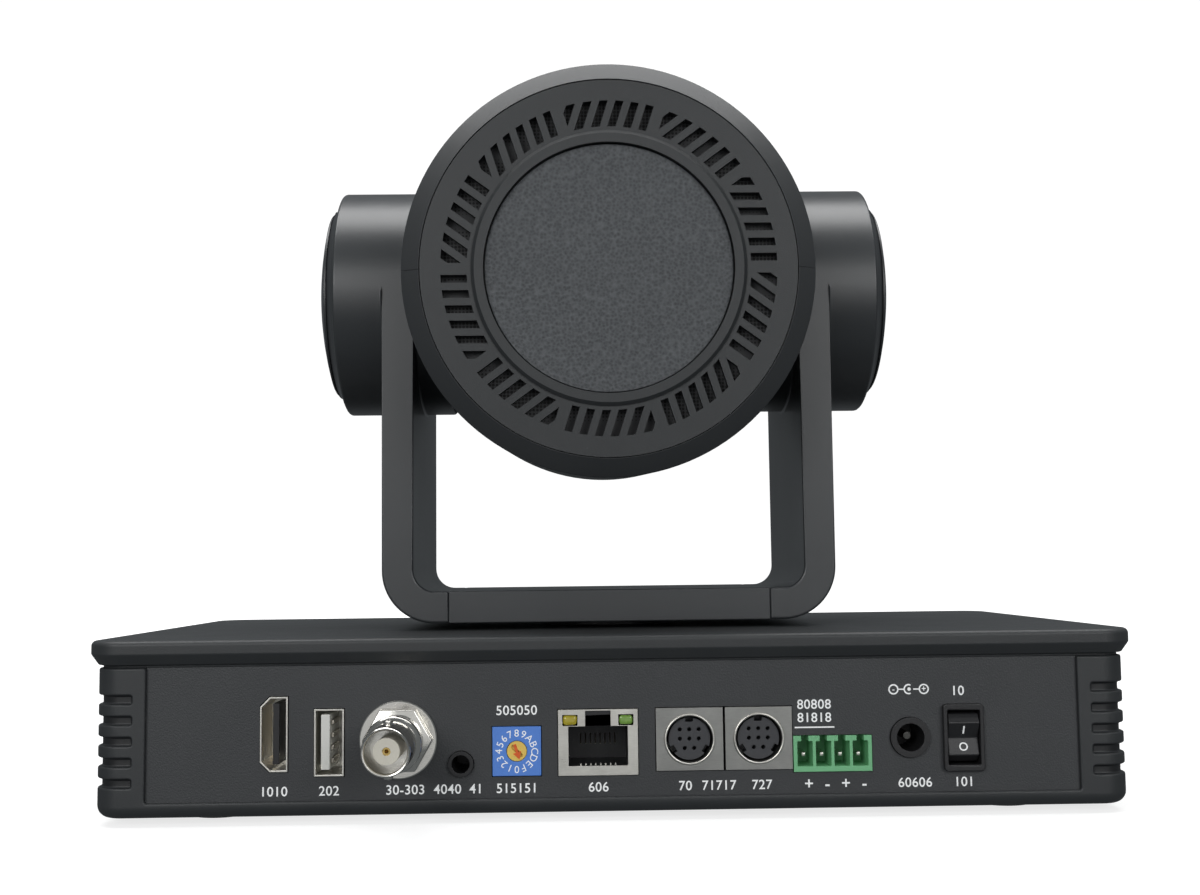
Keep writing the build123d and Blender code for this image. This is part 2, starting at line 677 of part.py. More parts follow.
def pod_outline():
    """The pod: a drum whose outer end narrows in a hollow curve to the cap's seat."""
    seat = pod_cap_radius + 0.3
    middle = (pod_outer_face + 0.4 * pod_shoulder, pod_radius - 0.6 * (pod_radius - seat))
    edges = [Line((pod_inner_face, 0), (pod_inner_face, pod_radius)),
             Line((pod_inner_face, pod_radius), (pod_outer_face, pod_radius)),
             ThreePointArc((pod_outer_face, pod_radius), middle, (pod_end, seat)),
             Line((pod_end, seat), (pod_end, 0)),
             Line((pod_end, 0), (pod_inner_face, 0))]
    return Pos(0, 0, tilt_axis_height) * revolve(make_face(Wire(edges)), Axis.X)


def make_arm(side):
    """One arm: an upright with a round top, the foot that joins the bar, and its pod."""
    foot = bar_cover_half
    top = tilt_axis_height + pod_radius + 5
    profile = make_face(Polyline((foot, 0, bar_bottom), (arm_outer, 0, bar_bottom), (arm_outer, 0, top),
                                 (yoke_gap, 0, top), (yoke_gap, 0, bar_top), (foot, 0, bar_top), close=True))
    arm = extrude(profile, arm_depth / 2, dir=(0, 1, 0), both=True)
    for x, z, radius in ((arm_outer, bar_bottom, arm_outer_round), (yoke_gap, bar_top, arm_inner_round)):
        corner = [edge for edge in arm.edges().filter_by(Axis.Y)
                  if abs(edge.center().X - x) < 0.1 and abs(edge.center().Z - z) < 0.1]
        arm = fillet(corner, radius)
    # The upright ends in a half round about the tilt axis.
    outline = rod_x(0, tilt_axis_height, arm_depth / 2, 0, arm_outer + 1)
    outline += block(0, arm_outer + 1, -arm_depth / 2, arm_depth / 2, 0, tilt_axis_height)
    arm = (arm & outline) + pod_outline()
    arm -= rod_x(0, tilt_axis_height, pod_radius - pod_wall, pod_inner_face + bearing_width + 1,
                 pod_outer_face - pod_end_wall)
    arm -= rod_x(0, tilt_axis_height, pod_cap_radius, pod_outer_face - pod_end_wall - 1, pod_end + 1)
    arm -= rod_x(0, tilt_axis_height, tilt_bearing_radius, pod_inner_face - 1,
                 pod_inner_face + bearing_width + 2)
    # Cable duct down the middle of the upright and into the foot
    duct_x = (yoke_gap + arm_outer) / 2
    arm -= block(duct_x - arm_duct / 2, duct_x + arm_duct / 2, -14, 14,
                 bar_bottom + 4, tilt_axis_height - pod_radius + 4)
    return arm if side > 0 else mirror(arm, Plane.YZ)


def make_yoke():
    save("arm_left", make_arm(1))
    save("arm_right", make_arm(-1))
    bar = block(-bar_cover_half, bar_cover_half, -arm_depth / 2, arm_depth / 2, bar_bottom, bar_top)
    bar -= block(-bar_cover_half + 3, bar_cover_half - 3, -arm_depth / 2 + 2.5, arm_depth / 2 - 2.5,
                 bar_bottom + 3.2, bar_top - 2.2)
    bar -= rod_z(0, 0, pan_shaft_bore, bar_bottom - 1, bar_bottom + 4)
    save("yoke_bar", bar)
    # Spherical dome over a plug that fits the pod's end
    dome_radius = (pod_cap_radius ** 2 + pod_cap_rise ** 2) / (2 * pod_cap_rise)
    dome_foot = pod_end + pod_cap_edge
    dome_top = dome_foot + pod_cap_rise
    half_angle = math.asin(pod_cap_radius / dome_radius) / 2
    halfway = (dome_top - dome_radius * (1 - math.cos(half_angle)), dome_radius * math.sin(half_angle))
    plug = Polyline((dome_top, 0), (pod_outer_face - pod_end_wall, 0),
                    (pod_outer_face - pod_end_wall, pod_cap_radius), (dome_foot, pod_cap_radius))
    dome = ThreePointArc((dome_foot, pod_cap_radius), halfway, (dome_top, 0))
    cap = Pos(0, 0, tilt_axis_height) * revolve(make_face(Wire(plug.edges() + dome.edges())), Axis.X)
    save("pod_caps", cap, mirror(cap, Plane.YZ))
    ring = rod_x(0, tilt_axis_height, tilt_bearing_radius, pod_inner_face, pod_inner_face + bearing_width)
    ring -= rod_x(0, tilt_axis_height, tilt_shaft_radius + running_fit, pod_inner_face - 1,
                  pod_inner_face + bearing_width + 1)
    save("tilt_bearings", ring, mirror(ring, Plane.YZ))


def make_tilt_drive():
    motor_y = -tilt_centre_distance
    motor = rod_x(motor_y, tilt_axis_height, tilt_motor_radius, motor_plane, pod_outer_face - pod_end_wall)
    motor += rod_x(motor_y, tilt_axis_height, 1.0, gear_plane - 0.5, motor_plane)
    # The mounting ears reach almost to the pod's wall.
    motor += block(motor_plane, motor_plane + 1.2, motor_y - ear_half, motor_y + ear_half,
                   tilt_axis_height - motor_ear, tilt_axis_height + motor_ear)
    save("tilt_motor", motor)
    lay = Pos(gear_plane, 0, tilt_axis_height) * Rot(0, 90, 0)
    gear = lay * extrude(gear_outline(tilt_gear_teeth, tilt_module, -90), gear_width)
    gear -= rod_x(0, tilt_axis_height, tilt_shaft_radius, gear_plane - 1, gear_plane + gear_width + 1)
    save("tilt_gear", gear)
    first_tooth = 90 + 180 / tilt_pinion_teeth
    pinion = extrude(gear_outline(tilt_pinion_teeth, tilt_module, first_tooth), gear_width)
    pinion = Pos(gear_plane, motor_y, tilt_axis_height) * Rot(0, 90, 0) * pinion
    pinion -= rod_x(motor_y, tilt_axis_height, 1.0 + running_fit, gear_plane - 1, gear_plane + gear_width + 1)
    save("tilt_pinion", pinion)


# ---------------------------------------------------------------- head

cover_thickness = 2.4
plate_thickness = 1.6
bezel_thickness = 3.0
lens_tube_back = 6.0
lens_tube_front = -44.0
lens_tube_wall = 1.6
zoom_group_at = -16.0
zoom_group_length = 6.0
sensor_board_at = 7.0


def to_rest(shape):
    """Lays a head piece, drawn about the Y axis, on the tilt axis with its lens a little up."""
    return Pos(0, 0, tilt_axis_height) * Rot(-rest_lens_up_deg, 0, 0) * shape


def barrel_outline(inset, reach):
    """Half outline of the barrel in the XY plane: a long front curve, a straight run, a round back corner."""
    radius = head_radius - inset
    front = head_front_radius - inset
    back = head_back_radius - inset
    mid_angle = math.asin((head_front - head_straight_front) / head_front_curve) / 2
    mid_front = (radius - head_front_curve * (1 - math.cos(mid_angle)),
                 -head_straight_front - head_front_curve * math.sin(mid_angle))
    # The back corner follows a circle about the tilt axis, which lets it pass over the bar.
    sweep = math.hypot(back, head_back)
    shoulder = math.sqrt(sweep ** 2 - radius ** 2)
    mid_angle = (math.atan2(shoulder, radius) + math.atan2(head_back, back)) / 2
    mid_back = (sweep * math.cos(mid_angle), sweep * math.sin(mid_angle))
    edges = [Line((0, -head_front - reach), (front, -head_front - reach)),
             ThreePointArc((front, -head_front), mid_front, (radius, -head_straight_front)),
             Line((radius, -head_straight_front), (radius, shoulder)),
             ThreePointArc((radius, shoulder), mid_back, (back, head_back)),
             Line((back, head_back + reach), (0, head_back + reach)),
             Line((0, head_back + reach), (0, -head_front - reach))]
    if reach > 0:
        edges.append(Line((front, -head_front - reach), (front, -head_front)))
        edges.append(Line((back, head_back), (back, head_back + reach)))
    return revolve(make_face(Wire(edges)), Axis.Y)


def make_shells():
    whole = barrel_outline(0, 0)
    barrel = whole - barrel_outline(head_skin, 1)
    for side in (-1, 1):
        # Each side has a round pocket for the pod, with a boss for the tilt shaft.
        cup = rod_x(0, 0, head_pocket_radius + head_skin, side * (head_pocket_floor - head_skin), side * 60)
        cup = cup & whole
        barrel += cup
        barrel -= rod_x(0, 0, head_pocket_radius, side * head_pocket_floor, side * 60)
        barrel += rod_x(0, 0, tilt_shaft_radius + 3.4, side * (head_pocket_floor - 8),
                        side * (head_pocket_floor - 0.5))
        barrel -= rod_x(0, 0, tilt_shaft_radius, side * (head_pocket_floor - 9), side * 60)
    barrel -= rod_y(0, 0, head_back_radius - 0.1, head_back - cover_thickness, head_back + 1)
    upper = barrel & block(-80, 80, -80, 80, 0, 80)
    lower = barrel & block(-80, 80, -80, 80, -80, 0)
    save("head_shell_upper", to_rest(upper))
    save("head_shell_lower", to_rest(lower))


def vent_sector():
    """Slots of one sector of the vent ring, centred on +Z: five of one width, then a corner piece."""
    half = math.pi / vent_sectors
    y0 = head_back - cover_thickness - 1
    y1 = head_back + 1
    ring = rod_y(0, 0, vent_outer, y0, y1) - rod_y(0, 0, vent_inner, y0, y1)
    rib = 1.25
    wedge_reach = 60.0
    left = (-wedge_reach * math.sin(half), wedge_reach * math.cos(half))
    right = (wedge_reach * math.sin(half), wedge_reach * math.cos(half))
    wedge = make_face(Polyline((0, y1, 0), (left[0], y1, left[1]), (right[0], y1, right[1]), close=True))
    wedge = extrude(wedge, y1 - y0, dir=(0, -1, 0))
    # The slots run parallel to the sector's side at -X.
    tilt = Rot(0, -math.degrees(half), 0)
    bars = []
    for index in range(vent_slots + 2):
        across = rib + vent_slot_width / 2 + index * vent_pitch
        bars.append(tilt * Pos(across, (y0 + y1) / 2, 30) * Box(vent_slot_width, y1 - y0, 40))
    far_edge = Rot(0, math.degrees(half), 0) * Pos(-rib / 2, (y0 + y1) / 2, 30) * Box(rib, y1 - y0, 60)
    slots = [(bar & wedge & ring) - far_edge for bar in bars]
    kept = []
    for slot in slots:
        kept.extend(solid for solid in slot.solids() if solid.volume > 1.5)
    return kept


def make_rear_cover():
    cover = rod_y(0, 0, head_back_radius - 0.25, head_back - cover_thickness, head_back)
    cover = cover + rod_y(0, 0, ring_radius, head_back - 1, head_back + ring_rise)
    cover = chamfer(cover.faces().sort_by(Axis.Y)[-1].edges(), 0.7)
    cover -= rod_y(0, 0, plate_radius, head_back - 1.4, head_back + ring_rise + 1)
    slots = vent_sector()
    for sector in range(vent_sectors):
        turn = Rot(0, sector * 360 / vent_sectors, 0)
        for slot in slots:
            cover -= turn * slot
    save("rear_cover", to_rest(cover))
    plate = rod_y(0, 0, plate_radius - 0.25, head_back - 1.4, head_back - 0.1)
    save("rear_plate", to_rest(plate))
    mesh = rod_y(0, 0, vent_outer + 0.8, head_back - cover_thickness - 0.5, head_back - cover_thickness)
    mesh -= rod_y(0, 0, vent_inner - 0.8, head_back - 5, head_back)
    save("vent_mesh", to_rest(mesh))


def make_front():
    bezel = revolve_about_y([(window_radius, -head_front + 3.4), (window_radius, -head_front - 2.0),
                             (head_front_radius - 3.0, -head_front - 2.0),
                             (head_front_radius, -head_front), (head_front_radius - head_skin, -head_front),
                             (head_front_radius - head_skin, -head_front + 4.5),
                             (lens_tube_radius, -head_front + 4.5), (lens_tube_radius, -head_front + 3.4)])
    save("front_bezel", to_rest(bezel))
    glass = rod_y(0, 0, window_radius, -head_front + 1.8, -head_front + 3.4)
    save("front_glass", to_rest(glass))
    rim = lens_tube_radius - lens_tube_wall
    tube = rod_y(0, 0, lens_tube_radius, lens_tube_front, lens_tube_back)
    tube -= rod_y(0, 0, rim, lens_tube_front - 1, lens_tube_back - 1.5)
    tube -= rod_y(0, 0, 6, lens_tube_back - 3, lens_tube_back + 1)
    save("lens_tube", to_rest(tube))
    front_lens = rod_y(0, 0, rim, lens_tube_front, lens_tube_front + 4)
    bulge = Pos(0, lens_tube_front + 28.5, 0) * Sphere(32)
    front_lens += bulge & rod_y(0, 0, rim, lens_tube_front - 5, lens_tube_front + 1)
    save("front_lens", to_rest(front_lens))
    group = rod_y(0, 0, rim - 0.3, zoom_group_at, zoom_group_at + zoom_group_length)
    group -= rod_y(0, 0, 8.0, zoom_group_at - 1, zoom_group_at + 1.5)
    save("zoom_group", to_rest(group))
    focus_at = zoom_group_at + 15
    focus = rod_y(0, 0, rim - 0.3, focus_at - 5, focus_at)
    focus -= rod_y(0, 0, 6.0, focus_at - 2, focus_at + 1)
    save("focus_group", to_rest(focus))
    board = block(-22, 22, sensor_board_at, sensor_board_at + 1.6, -20, 20)
    save("sensor_board", to_rest(board))
    save("image_sensor", to_rest(block(-4, 4, lens_tube_back - 1.4, sensor_board_at, -3, 3)))
    frame = block(-head_pocket_floor + head_skin, head_pocket_floor - head_skin, 8.6, 10.6, -22, 22)
    for side in (-1, 1):
        x0, x1 = sorted((side * (head_pocket_floor - head_skin - 2), side * (head_pocket_floor - head_skin)))
        frame += block(x0, x1, -14, 10.6, -22, 22)
        frame -= rod_x(0, 0, tilt_shaft_radius + 3.4, side * (head_pocket_floor - 9), side * (head_pocket_floor + 5))
    frame -= rod_y(0, 0, 9, 5, 15)
    save("camera_frame", to_rest(frame))


shaft_end = gear_plane + gear_width + 0.3


def make_tilt_shafts():
    shafts = []
    for side in (-1, 1):
        shaft = rod_x(0, 0, tilt_shaft_radius, side * (head_pocket_floor - 8), side * shaft_end)
        shafts.append(to_rest(shaft))
    save("tilt_shafts", *shafts)


def make_head():
    make_shells()
    make_rear_cover()
    make_front()
    make_tilt_shafts()


os.makedirs("parts", exist_ok=True)
make_base()
make_sockets()
make_pan_drive()
make_yoke()
make_tilt_drive()
make_head()
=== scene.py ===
import bpy
import json
import math
from mathutils import Matrix, Vector

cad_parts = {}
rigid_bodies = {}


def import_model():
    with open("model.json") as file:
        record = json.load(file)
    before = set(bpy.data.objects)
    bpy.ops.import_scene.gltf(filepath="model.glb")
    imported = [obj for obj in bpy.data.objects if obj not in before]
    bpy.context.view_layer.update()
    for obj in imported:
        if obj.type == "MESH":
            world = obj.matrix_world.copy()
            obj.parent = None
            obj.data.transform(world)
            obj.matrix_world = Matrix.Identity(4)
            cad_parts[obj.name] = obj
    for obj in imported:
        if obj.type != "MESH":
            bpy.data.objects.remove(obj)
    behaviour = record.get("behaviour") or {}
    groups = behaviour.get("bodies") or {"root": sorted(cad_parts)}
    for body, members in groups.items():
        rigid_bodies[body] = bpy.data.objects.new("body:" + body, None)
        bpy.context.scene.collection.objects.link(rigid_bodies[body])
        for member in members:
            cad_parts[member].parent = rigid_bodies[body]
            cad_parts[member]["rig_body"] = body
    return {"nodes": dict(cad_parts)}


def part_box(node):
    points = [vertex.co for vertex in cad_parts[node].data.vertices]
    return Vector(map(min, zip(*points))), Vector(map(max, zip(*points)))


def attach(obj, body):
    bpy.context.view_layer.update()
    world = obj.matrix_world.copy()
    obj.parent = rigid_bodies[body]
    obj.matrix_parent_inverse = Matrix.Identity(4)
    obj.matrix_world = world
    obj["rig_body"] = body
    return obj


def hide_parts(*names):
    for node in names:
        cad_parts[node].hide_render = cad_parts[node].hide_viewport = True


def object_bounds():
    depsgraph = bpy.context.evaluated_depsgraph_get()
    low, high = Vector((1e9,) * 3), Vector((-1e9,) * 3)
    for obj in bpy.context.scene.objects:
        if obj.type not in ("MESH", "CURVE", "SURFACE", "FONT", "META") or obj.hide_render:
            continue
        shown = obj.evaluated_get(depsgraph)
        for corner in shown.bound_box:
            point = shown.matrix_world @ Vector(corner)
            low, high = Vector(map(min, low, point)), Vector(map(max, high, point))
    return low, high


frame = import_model()
cad_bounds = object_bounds()
mm = 0.001


# ------------------------------------------------------------------ tray
# The tray is one deep moulding in black ABS with a fine spark-eroded grain.
# Five grooves run round each end of it, and its bottom edge is rounded. Their floors carry painted shade.

class Value:
    """A socket of a shader graph that can be used in sums."""

    def __init__(self, graph, socket):
        self.graph = graph
        self.socket = socket

    def maths(self, operation, first, second):
        return self.graph.add("ShaderNodeMath", {"operation": operation}, {0: first, 1: second})

    def __add__(self, other):
        return self.maths("ADD", self, other)

    def __radd__(self, other):
        return self.maths("ADD", other, self)

    def __sub__(self, other):
        return self.maths("SUBTRACT", self, other)

    def __rsub__(self, other):
        return self.maths("SUBTRACT", other, self)

    def __mul__(self, other):
        return self.maths("MULTIPLY", self, other)

    def __rmul__(self, other):
        return self.maths("MULTIPLY", other, self)

    def __gt__(self, other):
        return self.maths("GREATER_THAN", self, other)

    def __lt__(self, other):
        return self.maths("LESS_THAN", self, other)

    def limited(self):
        return self.graph.add("ShaderNodeClamp", {}, {0: self})


class Finish:
    """A material under construction: one Principled shader and the nodes that feed it."""

    def __init__(self, name, **fixed):
        self.material = bpy.data.materials.new(name)
        self.material.use_nodes = True
        self.tree = self.material.node_tree
        self.shader = self.tree.nodes["Principled BSDF"]
        for socket, value in fixed.items():
            self.shader.inputs[socket.replace("_", " ")].default_value = value

    def add(self, kind, settings, inputs, output=0):
        node = self.tree.nodes.new(kind)
        for name, value in settings.items():
            if name == "stops":
                ramp = node.color_ramp
                while len(ramp.elements) < len(value):
                    ramp.elements.new(0.5)
                for element, (place, colour) in zip(ramp.elements, value):
                    element.position = place
                    element.color = colour
            else:
                setattr(node, name, value)
        for name, value in inputs.items():
            if isinstance(value, Value):
                self.tree.links.new(value.socket, node.inputs[name])
            else:
                node.inputs[name].default_value = value
        return Value(self, node.outputs[output])

    def place(self):
        return self.add("ShaderNodeTexCoord", {}, {}, "Object")

    def noise(self, scale, detail=3.0, roughness=0.55):
        return self.add("ShaderNodeTexNoise", {}, {"Vector": self.place(), "Scale": scale, "Detail": detail,
                                                   "Roughness": roughness})

    def blend(self, factor, dark, light):
        return self.add("ShaderNodeMix", {"data_type": "RGBA"}, {0: factor, 6: dark, 7: light}, 2)

    def feed(self, socket, value):
        self.tree.links.new(value.socket, self.shader.inputs[socket])

    def relief(self, height, depth, strength=1.0):
        bump = self.add("ShaderNodeBump", {}, {"Strength": strength, "Distance": depth, "Height": height})
        self.feed("Normal", bump)


def moulded_plastic(name, dark, light, rough, grain, grain_depth, shade=None):
    """Moulded plastic: cloudy tone, a fine grain in the surface and a few pale dust specks. A shade
    function, if given, adds painted shade to the colour.
    """
    finish = Finish(name, Specular_IOR_Level=0.5)
    fine = finish.noise(grain, 4.0, 0.6)
    cloud = finish.noise(70.0, 3.0)
    dust = finish.add("ShaderNodeTexVoronoi", {"feature": "F1"}, {"Vector": finish.place(), "Scale": 420.0})
    speck = (dust < 0.045) * (finish.noise(55.0, 1.0) > 0.62)
    tone = (fine * 0.6 + cloud * 0.4).limited()
    colour = finish.blend(tone, dark, light)
    dusty = [min(1.0, part * 2.2 + 0.01) for part in light[:3]] + [1]
    colour = finish.blend(speck * 0.6, colour, dusty)
    if shade:
        colour = shade(finish, colour)
    finish.feed("Base Color", colour)
    finish.feed("Roughness", (fine - 0.5) * 0.22 + (cloud - 0.5) * 0.12 + rough + speck * 0.2)
    finish.relief(fine, grain_depth)
    return finish.material


def finished_copy(node, edge, steps=2, keep_angle=28.0):
    """A closed copy of a made part with its sharp edges rounded, which stands for that part."""
    source = frame["nodes"][node]
    bpy.ops.object.select_all(action="DESELECT")
    piece = source.copy()
    piece.data = source.data.copy()
    for key in list(piece.keys()):
        del piece[key]
    piece.name = node + "_finished"
    piece.parent = None
    piece.data.materials.clear()
    bpy.context.scene.collection.objects.link(piece)
    piece.select_set(True)
    bpy.context.view_layer.objects.active = piece
    bpy.ops.object.mode_set(mode="EDIT")
    bpy.ops.mesh.select_all(action="SELECT")
    bpy.ops.mesh.remove_doubles(threshold=0.002 * mm)
    bpy.ops.mesh.dissolve_limited(angle_limit=math.radians(0.6))
    bpy.ops.object.mode_set(mode="OBJECT")
    rounding = piece.modifiers.new("edges", "BEVEL")
    rounding.width = edge
    rounding.segments = steps
    rounding.limit_method = "ANGLE"
    rounding.angle_limit = math.radians(keep_angle)
    rounding.use_clamp_overlap = False
    rounding.miter_outer = "MITER_ARC"
    bpy.ops.object.modifier_apply(modifier=rounding.name)
    bpy.ops.object.shade_smooth_by_angle(angle=math.radians(32))
    evening = piece.modifiers.new("flat_faces_stay_flat", "WEIGHTED_NORMAL")
    evening.keep_sharp = True
    bpy.ops.object.modifier_apply(modifier=evening.name)
    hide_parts(node)
    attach(piece, source["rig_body"])
    return piece


def paint(piece, material):
    piece.data.materials.clear()
    piece.data.materials.append(material)


case_dark = (0.020, 0.022, 0.0235, 1)
case_light = (0.040, 0.0435, 0.046, 1)
case_grain = 5200.0
case_grain_depth = 0.03 * mm
case_plastic = moulded_plastic("case_plastic", case_dark, case_light, 0.46, case_grain, case_grain_depth)
first_groove = 7.2 * mm
last_groove_below_top = 6.4 * mm
groove_spaces = 4
groove_start_from_end = 8.3 * mm


def painted_groove_shade(finish, colour):
    """The colour with painted shade on the floors of the five grooves at each end of the tray."""
    tray_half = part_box("base_tray")[1].x
    last_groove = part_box("base_tray")[1].z - last_groove_below_top
    pitch = (last_groove - first_groove) / groove_spaces
    across = finish.add("ShaderNodeSeparateXYZ", {}, {0: finish.place()}, 0)
    up = finish.add("ShaderNodeSeparateXYZ", {}, {0: finish.place()}, 2)
    in_pitch = finish.add("ShaderNodeMath", {"operation": "MODULO"},
                          {0: up - (first_groove - pitch / 2), 1: pitch})
    inside = (in_pitch > pitch / 2 - 0.6 * mm) * (in_pitch < pitch / 2 + 0.85 * mm)
    inside = inside * (up > first_groove - 1.2 * mm) * (up < last_groove + 1.2 * mm)
    from_middle = finish.add("ShaderNodeMath", {"operation": "ABSOLUTE"}, {0: across})
    inside = inside * (from_middle > tray_half - groove_start_from_end)
    # Painted shade: the groove floors are blended towards near-black, more in their upper part, so the
    # lower edge stays lighter as if lit from above.
    return finish.blend(inside * 0.75, colour, (0.004, 0.004, 0.005, 1))


ribbed_plastic_painted_shade = moulded_plastic("ribbed_plastic_painted_shade", case_dark, case_light, 0.46, case_grain,
                                 case_grain_depth, painted_groove_shade)
paint(finished_copy("base_tray", 0.42 * mm, 4), ribbed_plastic_painted_shade)


# ------------------------------------------------------------------ lid
# The lid is a flat moulding of the same plastic. Its rim overhangs the tray all round, and
# its edges are rounded less than the tray's.

paint(finished_copy("base_lid", 0.22 * mm, 3), case_plastic)


# ------------------------------------------------------------------ rear panel
# The rear panel is sheet steel with a fine black powder coat. It stands on the tray's lip,
# and the openings cut in it have sharp edges.

def powder_coat(name, dark, light, rough, pimple):
    finish = Finish(name, Specular_IOR_Level=0.45)
    pimples = finish.add("ShaderNodeTexVoronoi", {"feature": "SMOOTH_F1"},
                         {"Vector": finish.place(), "Scale": pimple, "Smoothness": 0.6})
    fine = finish.noise(pimple * 2.2, 2.0)
    cloud = finish.noise(40.0, 3.0)
    finish.feed("Base Color", finish.blend((fine * 0.5 + cloud * 0.5).limited(), dark, light))
    finish.feed("Roughness", rough + (fine - 0.5) * 0.2)
    finish.relief(pimples * 0.7 + fine * 0.5, 0.05 * mm)
    return finish.material


panel_coat = powder_coat("panel_powder_coat", (0.028, 0.030, 0.032, 1), (0.060, 0.063, 0.067, 1), 0.5,
                         2600.0)
paint(frame["nodes"]["rear_panel"], panel_coat)
panel_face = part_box("rear_panel")[1].y


# ------------------------------------------------------------------ printed legends
# White screen-printed numbers and plain signs beside the sockets, a few hundredths of a
# millimetre thick. A line's height is that of its capitals. The ink's glow is painted light.

def screen_print_with_painted_glow():
    # The emission is painted light: a faint glow that keeps the white ink bright, though the ink is no
    # lamp.
    finish = Finish("white_print_painted_glow", Specular_IOR_Level=0.35, Emission_Strength=0.22)
    finish.shader.inputs["Emission Color"].default_value = (0.94, 0.96, 0.97, 1)
    worn = finish.noise(1500.0, 3.0)
    finish.feed("Base Color", finish.blend(worn, (0.66, 0.67, 0.67, 1), (0.90, 0.91, 0.90, 1)))
    finish.feed("Roughness", 0.5 + (worn - 0.5) * 0.3)
    return finish.material


glowing_print_white = screen_print_with_painted_glow()
cap_share = 0.72  # height of a capital as a share of the font size


def lettering(name, text, x, z, height, y, thickness=0.015 * mm, turn=0.0, fatness=0.01):
    """A line of raised print on a face that looks along +Y, centred on x and z."""
    bpy.ops.object.select_all(action="DESELECT")
    bpy.ops.object.text_add(location=(x, y, z), rotation=(math.pi / 2, 0, math.pi))
    line = bpy.context.object
    line.name = name
    line.data.body = text
    line.data.align_x = "CENTER"
    line.data.align_y = "CENTER"
    line.data.size = height / cap_share
    line.data.extrude = thickness / 2
    line.data.offset = fatness * height / cap_share
    line.data.space_character = 1.06
    line.matrix_world = line.matrix_world @ Matrix.Rotation(turn, 4, "Z")
    bpy.ops.object.convert(target="MESH")
    bpy.ops.object.transform_apply(location=True, rotation=True, scale=True)
    return bpy.context.object


sign_names = {"+": "plus", "-": "minus"}


def printed(name, text, x, z, height=1.95 * mm):
    line = lettering(name, text, x, z, height, panel_face + 0.012 * mm)
    paint(line, glowing_print_white)
    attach(line, "base")
    return line


def centre(node):
    low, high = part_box(node)
    return (low + high) / 2


control_low, control_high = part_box("control_shells")
control_shell_half = 6.9 * mm
control_in = control_high.x - control_shell_half
control_out = control_low.x + control_shell_half
pin_centre = centre("terminal_pins").x
pin_pitch = 3.81 * mm
switch_middle = centre("switch_bezel").x
rotary_middle = centre("rotary_switch_body").x
line_middle = centre("line_in_jack").x
low_line = 5.05 * mm
terminal_legend = pin_centre + 3.6 * mm
legends = [("1010", centre("hdmi_shell").x, low_line),
           ("202", centre("usb_shell").x, low_line),
           ("30-303", centre("bnc_nut").x - 1.4 * mm, low_line),
           ("4040", line_middle + 2.75 * mm, low_line),
           ("41", line_middle - 3.1 * mm, low_line),
           ("505050", rotary_middle, 20.8 * mm),
           ("515151", rotary_middle, low_line),
           ("606", centre("lan_shield").x, low_line),
           ("70", control_in + 1.0 * mm, low_line),
           ("71717", (control_in + control_out) / 2 + 1.2 * mm, low_line),
           ("727", control_out - 0.5 * mm, low_line),
           ("80808", terminal_legend, 21.2 * mm),
           ("81818", terminal_legend, 18.5 * mm),
           ("60606", centre("dc_jack").x - 0.8 * mm, low_line),
           ("10", switch_middle + 0.8 * mm, 23.6 * mm),
           ("101", switch_middle, low_line)]
for number, (text, across, up) in enumerate(legends, start=1):
    printed(f"legend_{number}", text, across, up)
for index, sign in enumerate("+-+-"):
    across = pin_centre + (1.5 - index) * pin_pitch - 0.7 * mm
    printed(f"pin_sign_{index + 1}", sign, across, low_line, 2.4 * mm)


def printed_bar(name, x, z, width, height):
    bpy.ops.object.select_all(action="DESELECT")
    bpy.ops.mesh.primitive_cube_add(size=1.0, location=(x, panel_face + 0.01 * mm, z))
    bar = bpy.context.object
    bar.name = name
    bpy.ops.object.mode_set(mode="EDIT")
    bpy.ops.transform.resize(value=(width, 0.02 * mm, height))
    bpy.ops.mesh.bevel(offset=height * 0.1, segments=1, affect="EDGES")
    bpy.ops.object.mode_set(mode="OBJECT")
    bpy.ops.object.transform_apply(location=True, rotation=True, scale=True)
    paint(bar, glowing_print_white)
    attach(bar, "base")


printed_bar("terminal_rule", terminal_legend, 16.6 * mm, 8.2 * mm, 0.28 * mm)

# Sign of a centre-positive supply over the DC jack: two ringed signs joined to a dot in a cup.
sign_height = 24.1 * mm
sign_radius = 0.92 * mm
sign_middle = centre("dc_jack").x


def printed_ring(name, x, z, radius, share=1.0):
    """A thin ring of print, or the part of it on the +X side of x."""
    bpy.ops.object.select_all(action="DESELECT")
    bpy.ops.mesh.primitive_torus_add(location=(x, panel_face + 0.01 * mm, z), rotation=(math.pi / 2, 0, 0),
                                     major_radius=radius, minor_radius=0.15 * mm, major_segments=40,
                                     minor_segments=8)
    ring = bpy.context.object
    ring.name = name
    bpy.ops.object.mode_set(mode="EDIT")
    bpy.ops.mesh.select_all(action="SELECT")
    bpy.ops.transform.resize(value=(1, 0.08, 1))
    if share < 1:
        bpy.ops.mesh.bisect(plane_co=(x + radius * (1 - 2 * share), 0, z), plane_no=(1, 0, 0),
                            clear_inner=True, use_fill=True)
    bpy.ops.object.mode_set(mode="OBJECT")
    bpy.ops.object.transform_apply(location=True, rotation=True, scale=True)
    paint(ring, glowing_print_white)
    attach(ring, "base")


